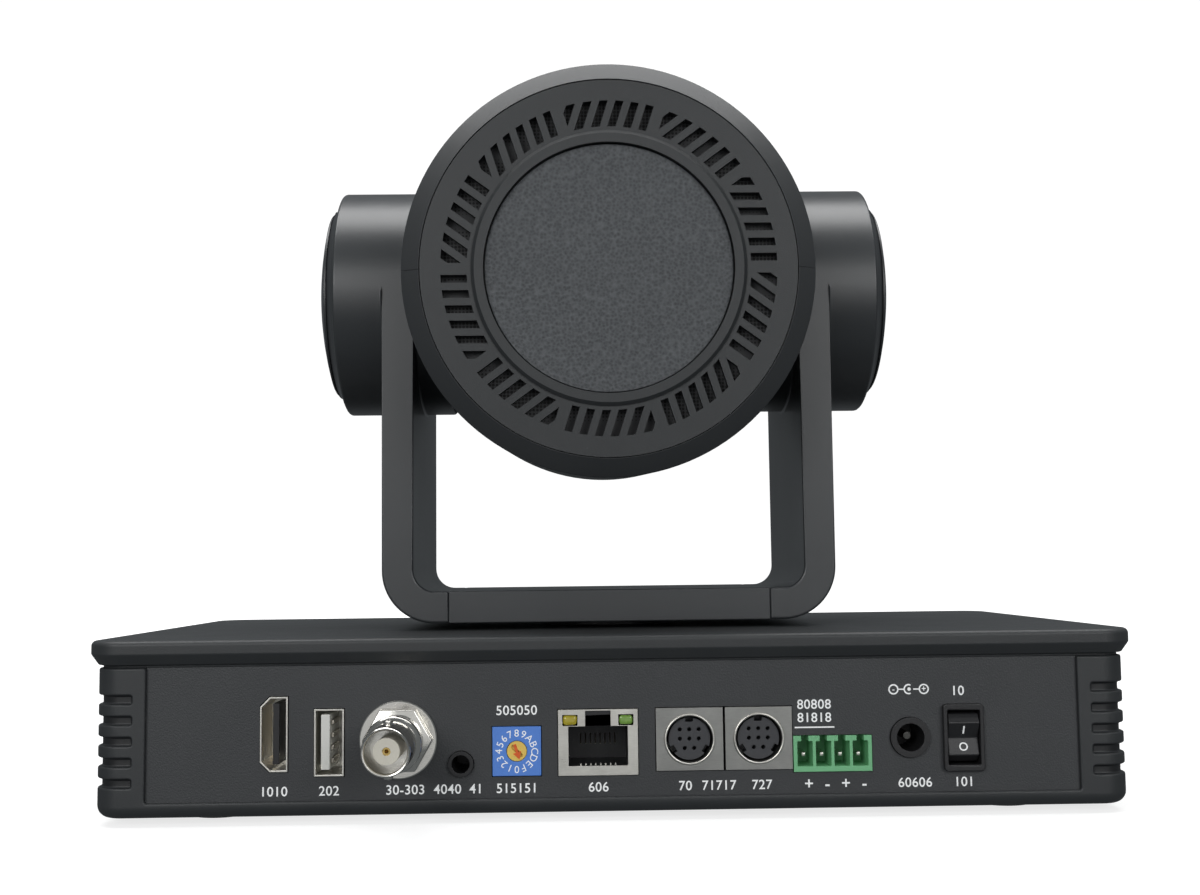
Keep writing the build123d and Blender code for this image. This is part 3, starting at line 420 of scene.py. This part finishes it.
for side, sign in ((1, "-"), (-1, "+")):
    across = sign_middle + side * 3.15 * mm
    printed(f"supply_sign_{sign_names[sign]}", sign, across, sign_height, 1.25 * mm)
    printed_ring(f"supply_ring_{sign_names[sign]}", across, sign_height, sign_radius)
    printed_bar(f"supply_lead_{sign_names[sign]}", sign_middle + side * 1.6 * mm, sign_height,
                1.3 * mm, 0.26 * mm)
printed_ring("supply_cup", sign_middle, sign_height, sign_radius, 0.7)
bpy.ops.object.select_all(action="DESELECT")
bpy.ops.mesh.primitive_uv_sphere_add(segments=24, ring_count=12, radius=0.36 * mm,
                                     location=(sign_middle - 0.1 * mm, panel_face, sign_height))
dot = bpy.context.object
dot.name = "supply_dot"
bpy.ops.transform.resize(value=(1, 0.1, 1))
bpy.ops.object.transform_apply(location=True, rotation=True, scale=True)
paint(dot, glowing_print_white)
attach(dot, "base")


# ------------------------------------------------------------------ plated socket shells
# HDMI, USB, LAN and control shells are drawn from thin sheet and nickel plated. The control
# shells are duller than the rolled lips round their mouths.

def plated(name, dark, light, rough):
    finish = Finish(name, Metallic=1.0)
    brushed = finish.add("ShaderNodeMapping", {}, {"Vector": finish.place(),
                                                   "Scale": (900.0, 900.0, 5200.0)})
    streak = finish.add("ShaderNodeTexNoise", {}, {"Vector": brushed, "Scale": 1.0, "Detail": 3.0})
    cloud = finish.noise(260.0, 3.0)
    finish.feed("Base Color", finish.blend((streak * 0.5 + cloud * 0.5).limited(), dark, light))
    finish.feed("Roughness", rough + (streak - 0.5) * 0.18 + (cloud - 0.5) * 0.2)
    finish.relief(streak, 0.006 * mm)
    return finish.material


nickel = plated("nickel_plate", (0.66, 0.64, 0.58, 1), (0.92, 0.90, 0.84, 1), 0.34)
dull_nickel = plated("dull_nickel", (0.26, 0.26, 0.25, 1), (0.42, 0.42, 0.40, 1), 0.42)
for node, finish in (("hdmi_shell", nickel), ("usb_shell", nickel), ("lan_shield", nickel),
                     ("control_shells", dull_nickel)):
    paint(finished_copy(node, 0.06 * mm), finish)
paint(finished_copy("terminal_pins", 0.1 * mm), nickel)
# The DC jack's centre pin gets a dark copy of the nickel: painted shade for the pin deep in the jack.
shaded_nickel = plated("shaded_nickel", (0.06, 0.06, 0.06, 1), (0.11, 0.11, 0.10, 1), 0.4)
paint(finished_copy("dc_pin", 0.25 * mm), shaded_nickel)

# Rolled lip round the mouth of each control socket
mouth_below_top = 6.38 * mm
for name, across in (("in", control_in), ("out", control_out)):
    bpy.ops.object.select_all(action="DESELECT")
    mouth = Vector((across, control_high.y - 0.05 * mm, control_high.z - mouth_below_top))
    bpy.ops.mesh.primitive_torus_add(location=mouth, rotation=(math.pi / 2, 0, 0), major_radius=4.98 * mm,
                                     minor_radius=0.24 * mm, major_segments=72, minor_segments=12)
    bpy.ops.object.transform_apply(location=True, rotation=True, scale=True)
    bpy.ops.object.shade_smooth()
    lip = bpy.context.object
    lip.name = f"control_lip_{name}"
    paint(lip, nickel)
    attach(lip, "base")


# ------------------------------------------------------------------ dark socket inserts
# The LAN insert, the line and DC jacks and the HDMI tongue are glass-filled nylon, nearly
# black and a little shiny. The control inserts are a grey one.

insert_nylon = moulded_plastic("insert_nylon", (0.010, 0.010, 0.011, 1), (0.022, 0.022, 0.024, 1),
                               0.40, 6000.0, 0.012 * mm)
grey_nylon = moulded_plastic("grey_nylon", (0.036, 0.037, 0.041, 1), (0.064, 0.066, 0.072, 1),
                             0.42, 6000.0, 0.012 * mm)
for node in ("lan_insert", "line_in_jack", "dc_jack"):
    paint(finished_copy(node, 0.08 * mm), insert_nylon)
paint(finished_copy("hdmi_tongue", 0.12 * mm), insert_nylon)
paint(finished_copy("control_inserts", 0.08 * mm), grey_nylon)


# ------------------------------------------------------------------ light plastics in the sockets
# White USB tongue, ivory BNC insulator and green terminal housing. The blue switch has a
# yellow rotor, and sixteen positions printed round it.

def coloured_plastic(name, colour, rough=0.42):
    dark = [part * 0.82 for part in colour] + [1]
    light = [min(1.0, part * 1.12) for part in colour] + [1]
    return moulded_plastic(name, dark, light, rough, 4200.0, 0.01 * mm)


white_plastic = coloured_plastic("white_plastic", (0.78, 0.78, 0.74))
ivory_plastic = coloured_plastic("ivory_plastic", (0.72, 0.69, 0.60))
green_plastic = coloured_plastic("green_plastic", (0.20, 0.54, 0.27))
blue_plastic = coloured_plastic("blue_plastic", (0.105, 0.27, 0.78), 0.36)
yellow_plastic = coloured_plastic("yellow_plastic", (0.90, 0.62, 0.13))
orange_print = coloured_plastic("orange_print", (0.80, 0.13, 0.02))
paint(finished_copy("usb_tongue", 0.12 * mm), white_plastic)
paint(finished_copy("bnc_insulator", 0.1 * mm), ivory_plastic)
paint(finished_copy("terminal_header", 0.08 * mm), green_plastic)
paint(finished_copy("rotary_switch_body", 0.15 * mm), blue_plastic)
paint(finished_copy("rotary_dial", 0.08 * mm), yellow_plastic)

# Sixteen printed positions round the rotor, 0 at the foot and on clockwise, tops outward.
switch_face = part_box("rotary_switch_body")[1].y
rotor_centre = centre("rotary_dial")
digit_circle = 3.6 * mm
for index, digit in enumerate("0123456789ABCDEF"):
    angle = math.radians(-90 - index * 22.5)
    across = rotor_centre.x - digit_circle * math.cos(angle)
    up = rotor_centre.z + digit_circle * math.sin(angle)
    mark = lettering(f"position_{digit}", digit, across, up, 1.5 * mm, switch_face + 0.01 * mm,
                     turn=angle - math.pi / 2, fatness=0.0)
    paint(mark, glowing_print_white)
    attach(mark, "base")

# Orange arrow let into the rotor's face
rotor_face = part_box("rotary_dial")[1].y
bpy.ops.object.select_all(action="DESELECT")
bpy.ops.mesh.primitive_cylinder_add(vertices=3, radius=1.0 * mm, depth=0.14 * mm,
                                    rotation=(math.pi / 2, 0, 0))
arrow = bpy.context.object
arrow.name = "rotor_arrow"
bpy.ops.object.transform_apply(location=True, rotation=True, scale=True)
if max(corner.co.z for corner in arrow.data.vertices) > 0.9 * mm:
    arrow.data.transform(Matrix.Rotation(math.pi, 4, "Y"))
arrow.data.transform(Matrix.Translation((0, 0, -0.75 * mm)))
bpy.ops.object.mode_set(mode="EDIT")
bpy.ops.mesh.select_all(action="DESELECT")
bpy.ops.object.mode_set(mode="OBJECT")
for side in arrow.data.polygons:
    side.select = side.normal.z > 0.9
bpy.ops.object.mode_set(mode="EDIT")
bpy.ops.mesh.select_mode(type="FACE")
bpy.ops.mesh.extrude_region_move(TRANSFORM_OT_translate={"value": (0, 0, 0)})
bpy.ops.transform.resize(value=(0.32, 1, 1))
bpy.ops.mesh.extrude_region_move(TRANSFORM_OT_translate={"value": (0, 0, 1.7 * mm)})
bpy.ops.mesh.select_mode(type="VERT")
bpy.ops.object.mode_set(mode="OBJECT")
arrow.data.transform(Matrix.Translation((rotor_centre.x, rotor_face + 0.03 * mm, rotor_centre.z))
                     @ Matrix.Rotation(math.radians(18), 4, "Y"))
paint(arrow, orange_print)
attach(arrow, "rotary_dial")


# ------------------------------------------------------------------ LAN lights
# Two small light pipes at the top corners of the jack, in clear plastic: one yellow, one
# green.

def light_pipe():
    finish = Finish("light_pipe", Roughness=0.12, Coat_Weight=1.0, Coat_Roughness=0.04)
    place = finish.add("ShaderNodeSeparateXYZ", {}, {0: finish.place()}, 0)
    side = place > centre("lan_leds").x
    cloud = finish.noise(900.0, 3.0)
    left = finish.blend(cloud, (0.30, 0.24, 0.01, 1), (0.62, 0.52, 0.04, 1))
    right = finish.blend(cloud, (0.09, 0.22, 0.03, 1), (0.28, 0.48, 0.09, 1))
    finish.feed("Base Color", finish.blend(side, right, left))
    finish.relief(cloud, 0.02 * mm)
    return finish.material


paint(finished_copy("lan_leds", 0.75 * mm, 5), light_pipe())


# ------------------------------------------------------------------ contacts
# Spring strips in the LAN, USB and HDMI jacks, and the BNC's centre tube. The tube and the
# HDMI strips are gold plated. The LAN wires and USB strips are dull, the LAN feet nickel.

gold_plate = plated("gold_plate", (0.62, 0.42, 0.12, 1), (0.90, 0.68, 0.28, 1), 0.28)
paint(frame["nodes"]["bnc_contact"], gold_plate)


def strips(name, count, first, step, size, lean=0.0):
    """A row of equal metal strips, each a bar with rounded edges, in one piece."""
    bpy.ops.object.select_all(action="DESELECT")
    row = []
    for index in range(count):
        at = Vector(first) + Vector(step) * index
        bpy.ops.mesh.primitive_cube_add(size=1.0, location=at, rotation=(lean, 0, 0))
        bpy.ops.object.mode_set(mode="EDIT")
        bpy.ops.transform.resize(value=size, orient_type="LOCAL")
        bpy.ops.mesh.bevel(offset=min(size) * 0.3, segments=2, affect="EDGES")
        bpy.ops.object.mode_set(mode="OBJECT")
        row.append(bpy.context.object)
    for bar in row:
        bar.select_set(True)
    bpy.context.view_layer.objects.active = row[0]
    bpy.ops.object.join()
    piece = bpy.context.object
    bpy.ops.object.transform_apply(location=True, rotation=True, scale=True)
    piece.name = name
    paint(piece, gold_plate)
    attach(piece, "base")
    return piece


spring_wire = plated("spring_wire", (0.30, 0.28, 0.24, 1), (0.56, 0.53, 0.46, 1), 0.36)
lan = centre("lan_shield")
lan_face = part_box("lan_shield")[1].y
lan_pitch = 1.02 * mm
lan_first = lan.x - 3.5 * lan_pitch
wires = strips("lan_wires", 8, (lan_first, lan_face - 6.2 * mm, lan.z + 0.1 * mm), (lan_pitch, 0, 0),
               (0.3 * mm, 3.4 * mm, 0.2 * mm), math.radians(-32))
paint(wires, spring_wire)
feet = strips("lan_wire_feet", 8, (lan_first, lan_face - 1.3 * mm, lan.z - 4.55 * mm), (lan_pitch, 0, 0),
              (0.3 * mm, 1.2 * mm, 0.42 * mm))
paint(feet, nickel)
usb = centre("usb_tongue")
usb_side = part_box("usb_tongue")[0].x
usb_springs = strips("usb_contacts", 4, (usb_side - 0.35 * mm, usb.y + 0.5 * mm, usb.z - 3.9 * mm),
                     (0, 0, 2.6 * mm), (0.7 * mm, 8.0 * mm, 1.05 * mm))
paint(usb_springs, spring_wire)
hdmi = centre("hdmi_tongue")
hdmi_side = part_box("hdmi_tongue")[1].x
strips("hdmi_contacts", 9, (hdmi_side + 0.05 * mm, hdmi.y, hdmi.z - 4.8 * mm), (0, 0, 1.2 * mm),
       (0.12 * mm, 6.5 * mm, 0.5 * mm))


# ------------------------------------------------------------------ BNC connector
# Turned brass with bright nickel: washer and hex nut on a threaded barrel, then the bayonet
# shell with its two lugs.

def turned(name, x, z, steps, sides=72):
    """A part turned about a line along Y, given as (radius, y) from its first face to its last."""
    bpy.ops.object.select_all(action="DESELECT")
    radius, y = steps[0]
    bpy.ops.mesh.primitive_circle_add(vertices=sides, radius=radius, location=(x, y, z),
                                      rotation=(math.pi / 2, 0, 0))
    piece = bpy.context.object
    piece.name = name
    bpy.ops.object.transform_apply(location=True, rotation=True, scale=True)
    bpy.ops.object.mode_set(mode="EDIT")
    bpy.ops.mesh.select_all(action="SELECT")
    for following, next_y in steps[1:]:
        bpy.ops.mesh.extrude_region_move(TRANSFORM_OT_translate={"value": (0, next_y - y, 0)})
        if following != radius:
            ratio = following / radius
            bpy.ops.transform.resize(value=(ratio, 1, ratio), center_override=(x, next_y, z))
        radius, y = following, next_y
    bpy.ops.mesh.select_all(action="SELECT")
    bpy.ops.mesh.remove_doubles(threshold=0.0005 * mm)
    bpy.ops.mesh.select_all(action="SELECT")
    bpy.ops.mesh.normals_make_consistent(inside=False)
    bpy.ops.object.mode_set(mode="OBJECT")
    bpy.ops.object.shade_smooth_by_angle(angle=math.radians(34))
    return piece


bright_nickel = plated("bright_nickel", (0.66, 0.64, 0.59, 1), (0.93, 0.91, 0.86, 1), 0.16)
bnc = centre("bnc_nut")
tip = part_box("bnc_body")[1].y
washer = turned("bnc_washer", bnc.x, bnc.z,
                [(5.0 * mm, panel_face + 0.02 * mm), (7.75 * mm, panel_face + 0.02 * mm),
                 (7.95 * mm, panel_face + 0.2 * mm), (7.95 * mm, panel_face + 0.6 * mm),
                 (7.7 * mm, panel_face + 0.8 * mm), (5.0 * mm, panel_face + 0.8 * mm)])
bpy.ops.object.select_all(action="DESELECT")
bpy.ops.mesh.primitive_cylinder_add(vertices=6, radius=7.2 * mm, depth=2.0 * mm,
                                    location=(bnc.x, panel_face + 1.8 * mm, bnc.z),
                                    rotation=(math.pi / 2, 0, 0))
bpy.ops.object.transform_apply(location=True, rotation=True, scale=True)
bpy.ops.transform.rotate(value=math.radians(30), orient_axis="Y", center_override=tuple(bnc))
bpy.ops.object.transform_apply(location=True, rotation=True, scale=True)
bpy.ops.object.mode_set(mode="EDIT")
bpy.ops.mesh.select_all(action="SELECT")
bpy.ops.mesh.bevel(offset=0.28 * mm, segments=3, affect="EDGES")
bpy.ops.object.mode_set(mode="OBJECT")
bpy.ops.object.shade_smooth_by_angle(angle=math.radians(40))
nut = bpy.context.object
nut.name = "bnc_hex_nut"
thread_radius = 5.35 * mm
thread_root = 4.9 * mm
neck_radius = 4.5 * mm
flange_radius = 5.7 * mm
shell_radius = 4.8 * mm
bore_radius = 4.1 * mm
barrel = [(4.6 * mm, panel_face + 0.1 * mm), (thread_radius, panel_face + 2.9 * mm)]
thread_y = panel_face + 2.9 * mm
for ridge in range(5):
    barrel += [(thread_radius, thread_y + 0.12 * mm), (thread_root, thread_y + 0.36 * mm),
               (thread_radius, thread_y + 0.6 * mm)]
    thread_y += 0.6 * mm
barrel += [(neck_radius, thread_y + 0.1 * mm), (neck_radius, thread_y + 1.3 * mm),
           (flange_radius - 0.2 * mm, thread_y + 1.5 * mm), (flange_radius, thread_y + 1.8 * mm),
           (flange_radius, thread_y + 3.2 * mm), (flange_radius - 0.2 * mm, thread_y + 3.5 * mm),
           (shell_radius, thread_y + 3.9 * mm), (shell_radius, tip - 0.5 * mm),
           (shell_radius - 0.12 * mm, tip - 0.15 * mm), (4.5 * mm, tip), (4.3 * mm, tip - 0.05 * mm),
           (4.12 * mm, tip - 0.4 * mm), (bore_radius, tip - 1.2 * mm), (bore_radius, tip - 8.9 * mm),
           (0.2 * mm, tip - 8.95 * mm)]
bnc_barrel = turned("bnc_barrel", bnc.x, bnc.z, barrel)
bnc_pieces = [washer, nut, bnc_barrel]
for name, side in (("upper", 1), ("lower", -1)):
    bpy.ops.object.select_all(action="DESELECT")
    bpy.ops.mesh.primitive_cylinder_add(vertices=32, radius=0.95 * mm, depth=0.95 * mm,
                                        location=(bnc.x, tip - 4.5 * mm, bnc.z + side * 5.15 * mm))
    lug = bpy.context.object
    lug.name = f"bayonet_lug_{name}"
    bpy.ops.object.mode_set(mode="EDIT")
    bpy.ops.mesh.select_all(action="SELECT")
    bpy.ops.mesh.bevel(offset=0.18 * mm, segments=3, affect="EDGES")
    bpy.ops.object.mode_set(mode="OBJECT")
    bpy.ops.object.transform_apply(location=True, rotation=True, scale=True)
    bpy.ops.object.shade_smooth_by_angle(angle=math.radians(40))
    bnc_pieces.append(lug)
for piece in bnc_pieces:
    paint(piece, bright_nickel)
    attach(piece, "base")
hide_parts("bnc_body")
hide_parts("bnc_nut")
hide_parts("bnc_nut")


# ------------------------------------------------------------------ power switch
# A snap-in rocker: a bezel with rounded corners and a two-faced key. The white signs on the
# key tip with it.

paint(finished_copy("switch_bezel", 0.22 * mm, 3), insert_nylon)
rocker = finished_copy("power_rocker", 0.25 * mm, 3)
paint(rocker, insert_nylon)
rocker_middle = centre("switch_bezel")
pivot_y = panel_face - 1.2 * mm
face_rise = 1.3 / 3.35


def rocker_sign(name, text, up, height, face_angle):
    sign = lettering(name, text, 0, 0, height, 0, thickness=0.06 * mm)
    face = Matrix.Translation((rocker_middle.x, pivot_y, rocker_middle.z))
    face = face @ Matrix.Rotation(math.radians(-8), 4, "X")
    face = face @ Matrix.Translation((0, 1.06 * mm + abs(up) * face_rise, up))
    face = face @ Matrix.Rotation(face_angle, 4, "X")
    sign.data.transform(face)
    paint(sign, glowing_print_white)
    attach(sign, "power_rocker")


face_slope = math.atan(face_rise)
rocker_sign("rocker_on_sign", "I", 1.7 * mm, 1.9 * mm, -face_slope)
rocker_sign("rocker_off_sign", "O", -1.8 * mm, 1.7 * mm, face_slope)


# ------------------------------------------------------------------ underside
# Soft rubber feet, a brass thread insert and zinc-plated screws in the tray's recesses. The
# feet are matt, with a fine grain.

def rubber():
    finish = Finish("foot_rubber", Roughness=0.8, Specular_IOR_Level=0.3)
    grain = finish.noise(3200.0, 4.0)
    cloud = finish.noise(160.0, 2.0)
    finish.feed("Base Color", finish.blend(cloud, (0.012, 0.012, 0.013, 1), (0.030, 0.030, 0.031, 1)))
    finish.feed("Roughness", 0.78 + (grain - 0.5) * 0.25)
    finish.relief(grain, 0.04 * mm)
    return finish.material


steel = plated("zinc_steel", (0.38, 0.38, 0.40, 1), (0.62, 0.62, 0.64, 1), 0.34)
machined_brass = plated("machined_brass", (0.46, 0.32, 0.12, 1), (0.74, 0.56, 0.26, 1), 0.3)
paint(finished_copy("rubber_feet", 0.1 * mm), rubber())
paint(finished_copy("tripod_insert", 0.15 * mm), machined_brass)
paint(finished_copy("lid_screws", 0.12 * mm), steel)


# ------------------------------------------------------------------ front window and receiver
# Smoked acrylic in front of the receiver board. All three circuit boards wear one green
# solder mask, and what stands on them is black.

def smoked_acrylic():
    finish = Finish("smoked_acrylic", Roughness=0.08, Coat_Weight=0.6, Coat_Roughness=0.05)
    haze = finish.noise(300.0, 3.0)
    finish.feed("Base Color", finish.blend(haze, (0.006, 0.004, 0.006, 1), (0.016, 0.010, 0.014, 1)))
    finish.feed("Roughness", 0.07 + haze * 0.06)
    return finish.material


def solder_mask():
    finish = Finish("solder_mask", Roughness=0.35)
    tracks = finish.add("ShaderNodeTexBrick", {}, {"Vector": finish.place(), "Scale": 420.0,
                                                   "Mortar Size": 0.03, "Color1": (0.010, 0.085, 0.035, 1),
                                                   "Color2": (0.014, 0.105, 0.045, 1),
                                                   "Mortar": (0.03, 0.17, 0.07, 1)})
    finish.feed("Base Color", tracks)
    finish.relief(finish.noise(1800.0, 2.0), 0.01 * mm)
    return finish.material


board_mask = solder_mask()
paint(finished_copy("front_window", 0.25 * mm), smoked_acrylic())
for node in ("receiver_board", "main_board", "sensor_board"):
    paint(frame["nodes"][node], board_mask)
for node in ("board_components", "image_sensor"):
    paint(frame["nodes"][node], insert_nylon)


# ------------------------------------------------------------------ pan and tilt drives
# White acetal gears, steel bearing rings and small can motors, hidden inside the housings.
# The tilt pinion is brass, and the hub is the case plastic.

acetal = coloured_plastic("acetal", (0.74, 0.73, 0.68))
for node in ("pan_gear", "pan_pinion", "tilt_gear"):
    paint(frame["nodes"][node], acetal)
for node in ("pan_bearing", "pan_motor", "tilt_bearings", "tilt_motor", "tilt_shafts"):
    paint(frame["nodes"][node], steel)
paint(frame["nodes"]["tilt_pinion"], machined_brass)
paint(finished_copy("pan_hub", 0.2 * mm), case_plastic)


# ------------------------------------------------------------------ yoke
# Two arms and a bar cover in satin-painted ABS. The pods and their domed caps sit at the
# tilt axis.

def satin_paint(name, dark, light, rough):
    finish = Finish(name, Specular_IOR_Level=0.6, Coat_Roughness=0.32)
    finish.shader.inputs["Coat Weight"].default_value = 0.25
    fine = finish.noise(4600.0, 3.0)
    peel = finish.noise(620.0, 2.0)
    cloud = finish.noise(35.0, 2.0)
    finish.feed("Base Color", finish.blend((fine * 0.4 + cloud * 0.6).limited(), dark, light))
    finish.feed("Roughness", rough + (fine - 0.5) * 0.16 + (cloud - 0.5) * 0.08)
    finish.relief(fine * 0.6 + peel * 0.4, 0.02 * mm)
    return finish.material


yoke_paint = satin_paint("yoke_paint", (0.022, 0.0245, 0.0265, 1), (0.042, 0.046, 0.050, 1), 0.36)
for node, edge in (("arm_left", 0.6 * mm), ("arm_right", 0.6 * mm), ("yoke_bar", 0.25 * mm),
                   ("pod_caps", 0.2 * mm)):
    paint(finished_copy(node, edge, 3, 40.0), yoke_paint)


# ------------------------------------------------------------------ head
# Upper and lower shells meet at the equator. The rear cover carries the vent ring, and a
# coarse-grained plate sits in the raised ring.

head_paint = satin_paint("head_paint", (0.018, 0.020, 0.0215, 1), (0.034, 0.037, 0.040, 1), 0.55)
for node in ("head_shell_upper", "head_shell_lower"):
    paint(finished_copy(node, 0.14 * mm, 2, 40.0), head_paint)
cover_plastic = moulded_plastic("cover_plastic", case_dark, case_light, 0.44, 4800.0, 0.03 * mm)
paint(frame["nodes"]["rear_cover"], cover_plastic)


def coarse_grain():
    finish = Finish("coarse_grain", Specular_IOR_Level=0.5)
    cells = finish.add("ShaderNodeTexVoronoi", {"feature": "SMOOTH_F1"},
                       {"Vector": finish.place(), "Scale": 1450.0, "Smoothness": 0.4})
    rough_noise = finish.noise(2100.0, 5.0, 0.75)
    cloud = finish.noise(45.0, 3.0)
    tone = (cells * 0.7 + rough_noise * 0.6 + cloud * 0.2 - 0.2).limited()
    finish.feed("Base Color", finish.blend(tone, (0.018, 0.020, 0.023, 1), (0.118, 0.127, 0.136, 1)))
    finish.feed("Roughness", 0.5 + (rough_noise - 0.5) * 0.3)
    finish.relief(cells * 0.6 + rough_noise * 0.6, 0.18 * mm)
    return finish.material


paint(finished_copy("rear_plate", 0.15 * mm), coarse_grain())


def vent_net():
    finish = Finish("vent_net", Roughness=0.8)
    holes = finish.add("ShaderNodeTexVoronoi", {"feature": "F1"},
                       {"Vector": finish.place(), "Scale": 1300.0, "Randomness": 0.0})
    # The holes are painted near-black: painted shade for the dark inside of the head seen through them.
    finish.feed("Base Color", finish.blend(holes > 0.42, (0.004, 0.004, 0.004, 1),
                                           (0.045, 0.046, 0.048, 1)))
    return finish.material


paint(frame["nodes"]["vent_mesh"], vent_net())


# ------------------------------------------------------------------ lens
# Coated front window in a dark bezel, with the blackened lens tube and its groups behind.
# The frame that carries them is cast alloy.

def coated_glass():
    finish = Finish("coated_glass", Roughness=0.02, IOR=1.5, Transmission_Weight=1.0, Coat_Weight=0.4)
    bloom = finish.noise(30.0, 2.0)
    finish.feed("Base Color", finish.blend(bloom, (0.75, 0.80, 0.92, 1), (0.90, 0.86, 0.95, 1)))
    return finish.material


lens_glass = coated_glass()
paint(finished_copy("front_bezel", 0.2 * mm, 3), head_paint)
for node in ("front_glass", "front_lens"):
    paint(finished_copy(node, 0.12 * mm), lens_glass)
for node in ("lens_tube", "zoom_group", "focus_group"):
    paint(frame["nodes"][node], insert_nylon)
cast_alloy = plated("cast_alloy", (0.34, 0.35, 0.36, 1), (0.52, 0.53, 0.54, 1), 0.45)
paint(frame["nodes"]["camera_frame"], cast_alloy)


# ------------------------------------------------------------------ stage
# Pale round floor inside a white dome, with five soft boxes above and round the part. Floor
# and dome throw no light back, so the undersides stay dark.

bpy.ops.object.select_all(action="DESELECT")
case_bottom = cad_bounds[0][2]


def stage_finish(name, tone, glow):
    finish = Finish(name, Roughness=0.9, Specular_IOR_Level=0.0, Emission_Strength=1.05)
    cloud = finish.noise(2.0, 2.0)
    spread = finish.add("ShaderNodeMapping", {}, {"Vector": finish.place(), "Scale": (1.1, 1.1, 1.1)})
    middle = finish.add("ShaderNodeTexGradient", {"gradient_type": "SPHERICAL"}, {"Vector": spread}, "Fac")
    finish.feed("Emission Color", finish.blend((middle * 1.6).limited(), (1, 1, 1, 1), [glow] * 3 + [1]))
    finish.feed("Base Color", finish.blend(cloud, [tone * 0.985] * 3 + [1], [tone] * 3 + [1]))
    return finish.material


def stage_piece(name, tone, glow):
    piece = bpy.context.object
    piece.name = name
    piece.data.materials.append(stage_finish(name + "_finish", tone, glow))
    piece.visible_diffuse = False
    piece.visible_glossy = False
    piece.visible_transmission = False
    return piece


bpy.ops.mesh.primitive_circle_add(vertices=96, radius=3.9, fill_type="NGON",
                                  location=(0, 0, case_bottom - 0.1 * mm))
stage_piece("floor", 0.42, 0.72)
bpy.ops.mesh.primitive_uv_sphere_add(segments=64, ring_count=32, radius=4.0, location=(0, 0, 0))
bpy.ops.object.shade_smooth()
dome = stage_piece("backdrop", 0.0, 1.0)
dome.visible_shadow = False

world = bpy.data.worlds.new("studio")
bpy.context.scene.world = world
world.use_nodes = True
world.node_tree.nodes["Background"].inputs["Color"].default_value = (0.88, 0.95, 1.0, 1)
world.node_tree.nodes["Background"].inputs["Strength"].default_value = 0.14


def soft_box(name, place, aim, size, power):
    bpy.ops.object.light_add(type="AREA", location=place)
    light = bpy.context.object
    light.name = name
    light.data.shape = "RECTANGLE"
    light.data.size = size[0]
    light.data.size_y = size[1]
    light.data.energy = power
    light.rotation_euler = (Vector(aim) - Vector(place)).to_track_quat("-Z", "Y").to_euler()


soft_box("overhead_box", (0.0, 0.0, 0.95), (0, 0, 0.1), (1.4, 0.5), 10.0)
soft_box("left_box", (0.65, 1.2, 0.5), (0, 0, 0.08), (0.6, 0.6), 5.8)
soft_box("right_box", (-0.65, 1.2, 0.45), (0, 0, 0.08), (0.6, 0.6), 4.4)
soft_box("camera_box", (0.0, 1.7, 0.3), (0, 0, 0.08), (2.2, 1.2), 3.4)
soft_box("front_box", (0.2, -1.2, 0.6), (0, 0, 0.08), (0.8, 0.5), 5.0)
bpy.context.object.visible_glossy = False

camera_place = Vector((7.945, 349.74, 50.53)) * mm
camera_heading = 178.908
camera_pitch = 4.738
camera_roll = -0.685
camera_lens = 42.38
camera_sensor = 36
bpy.ops.object.camera_add(location=camera_place)
camera = bpy.context.object
turn = Matrix.Rotation(math.radians(camera_heading), 4, "Z")
turn = turn @ Matrix.Rotation(math.radians(90 + camera_pitch), 4, "X")
turn = turn @ Matrix.Rotation(math.radians(camera_roll), 4, "Z")
camera.matrix_world = Matrix.Translation(camera_place) @ turn
camera.data.lens = camera_lens
camera.data.sensor_width = camera_sensor
camera.data.clip_start = 0.01
camera.data.clip_end = 20
bpy.context.scene.camera = camera
bpy.context.scene.view_settings.view_transform = "Standard"
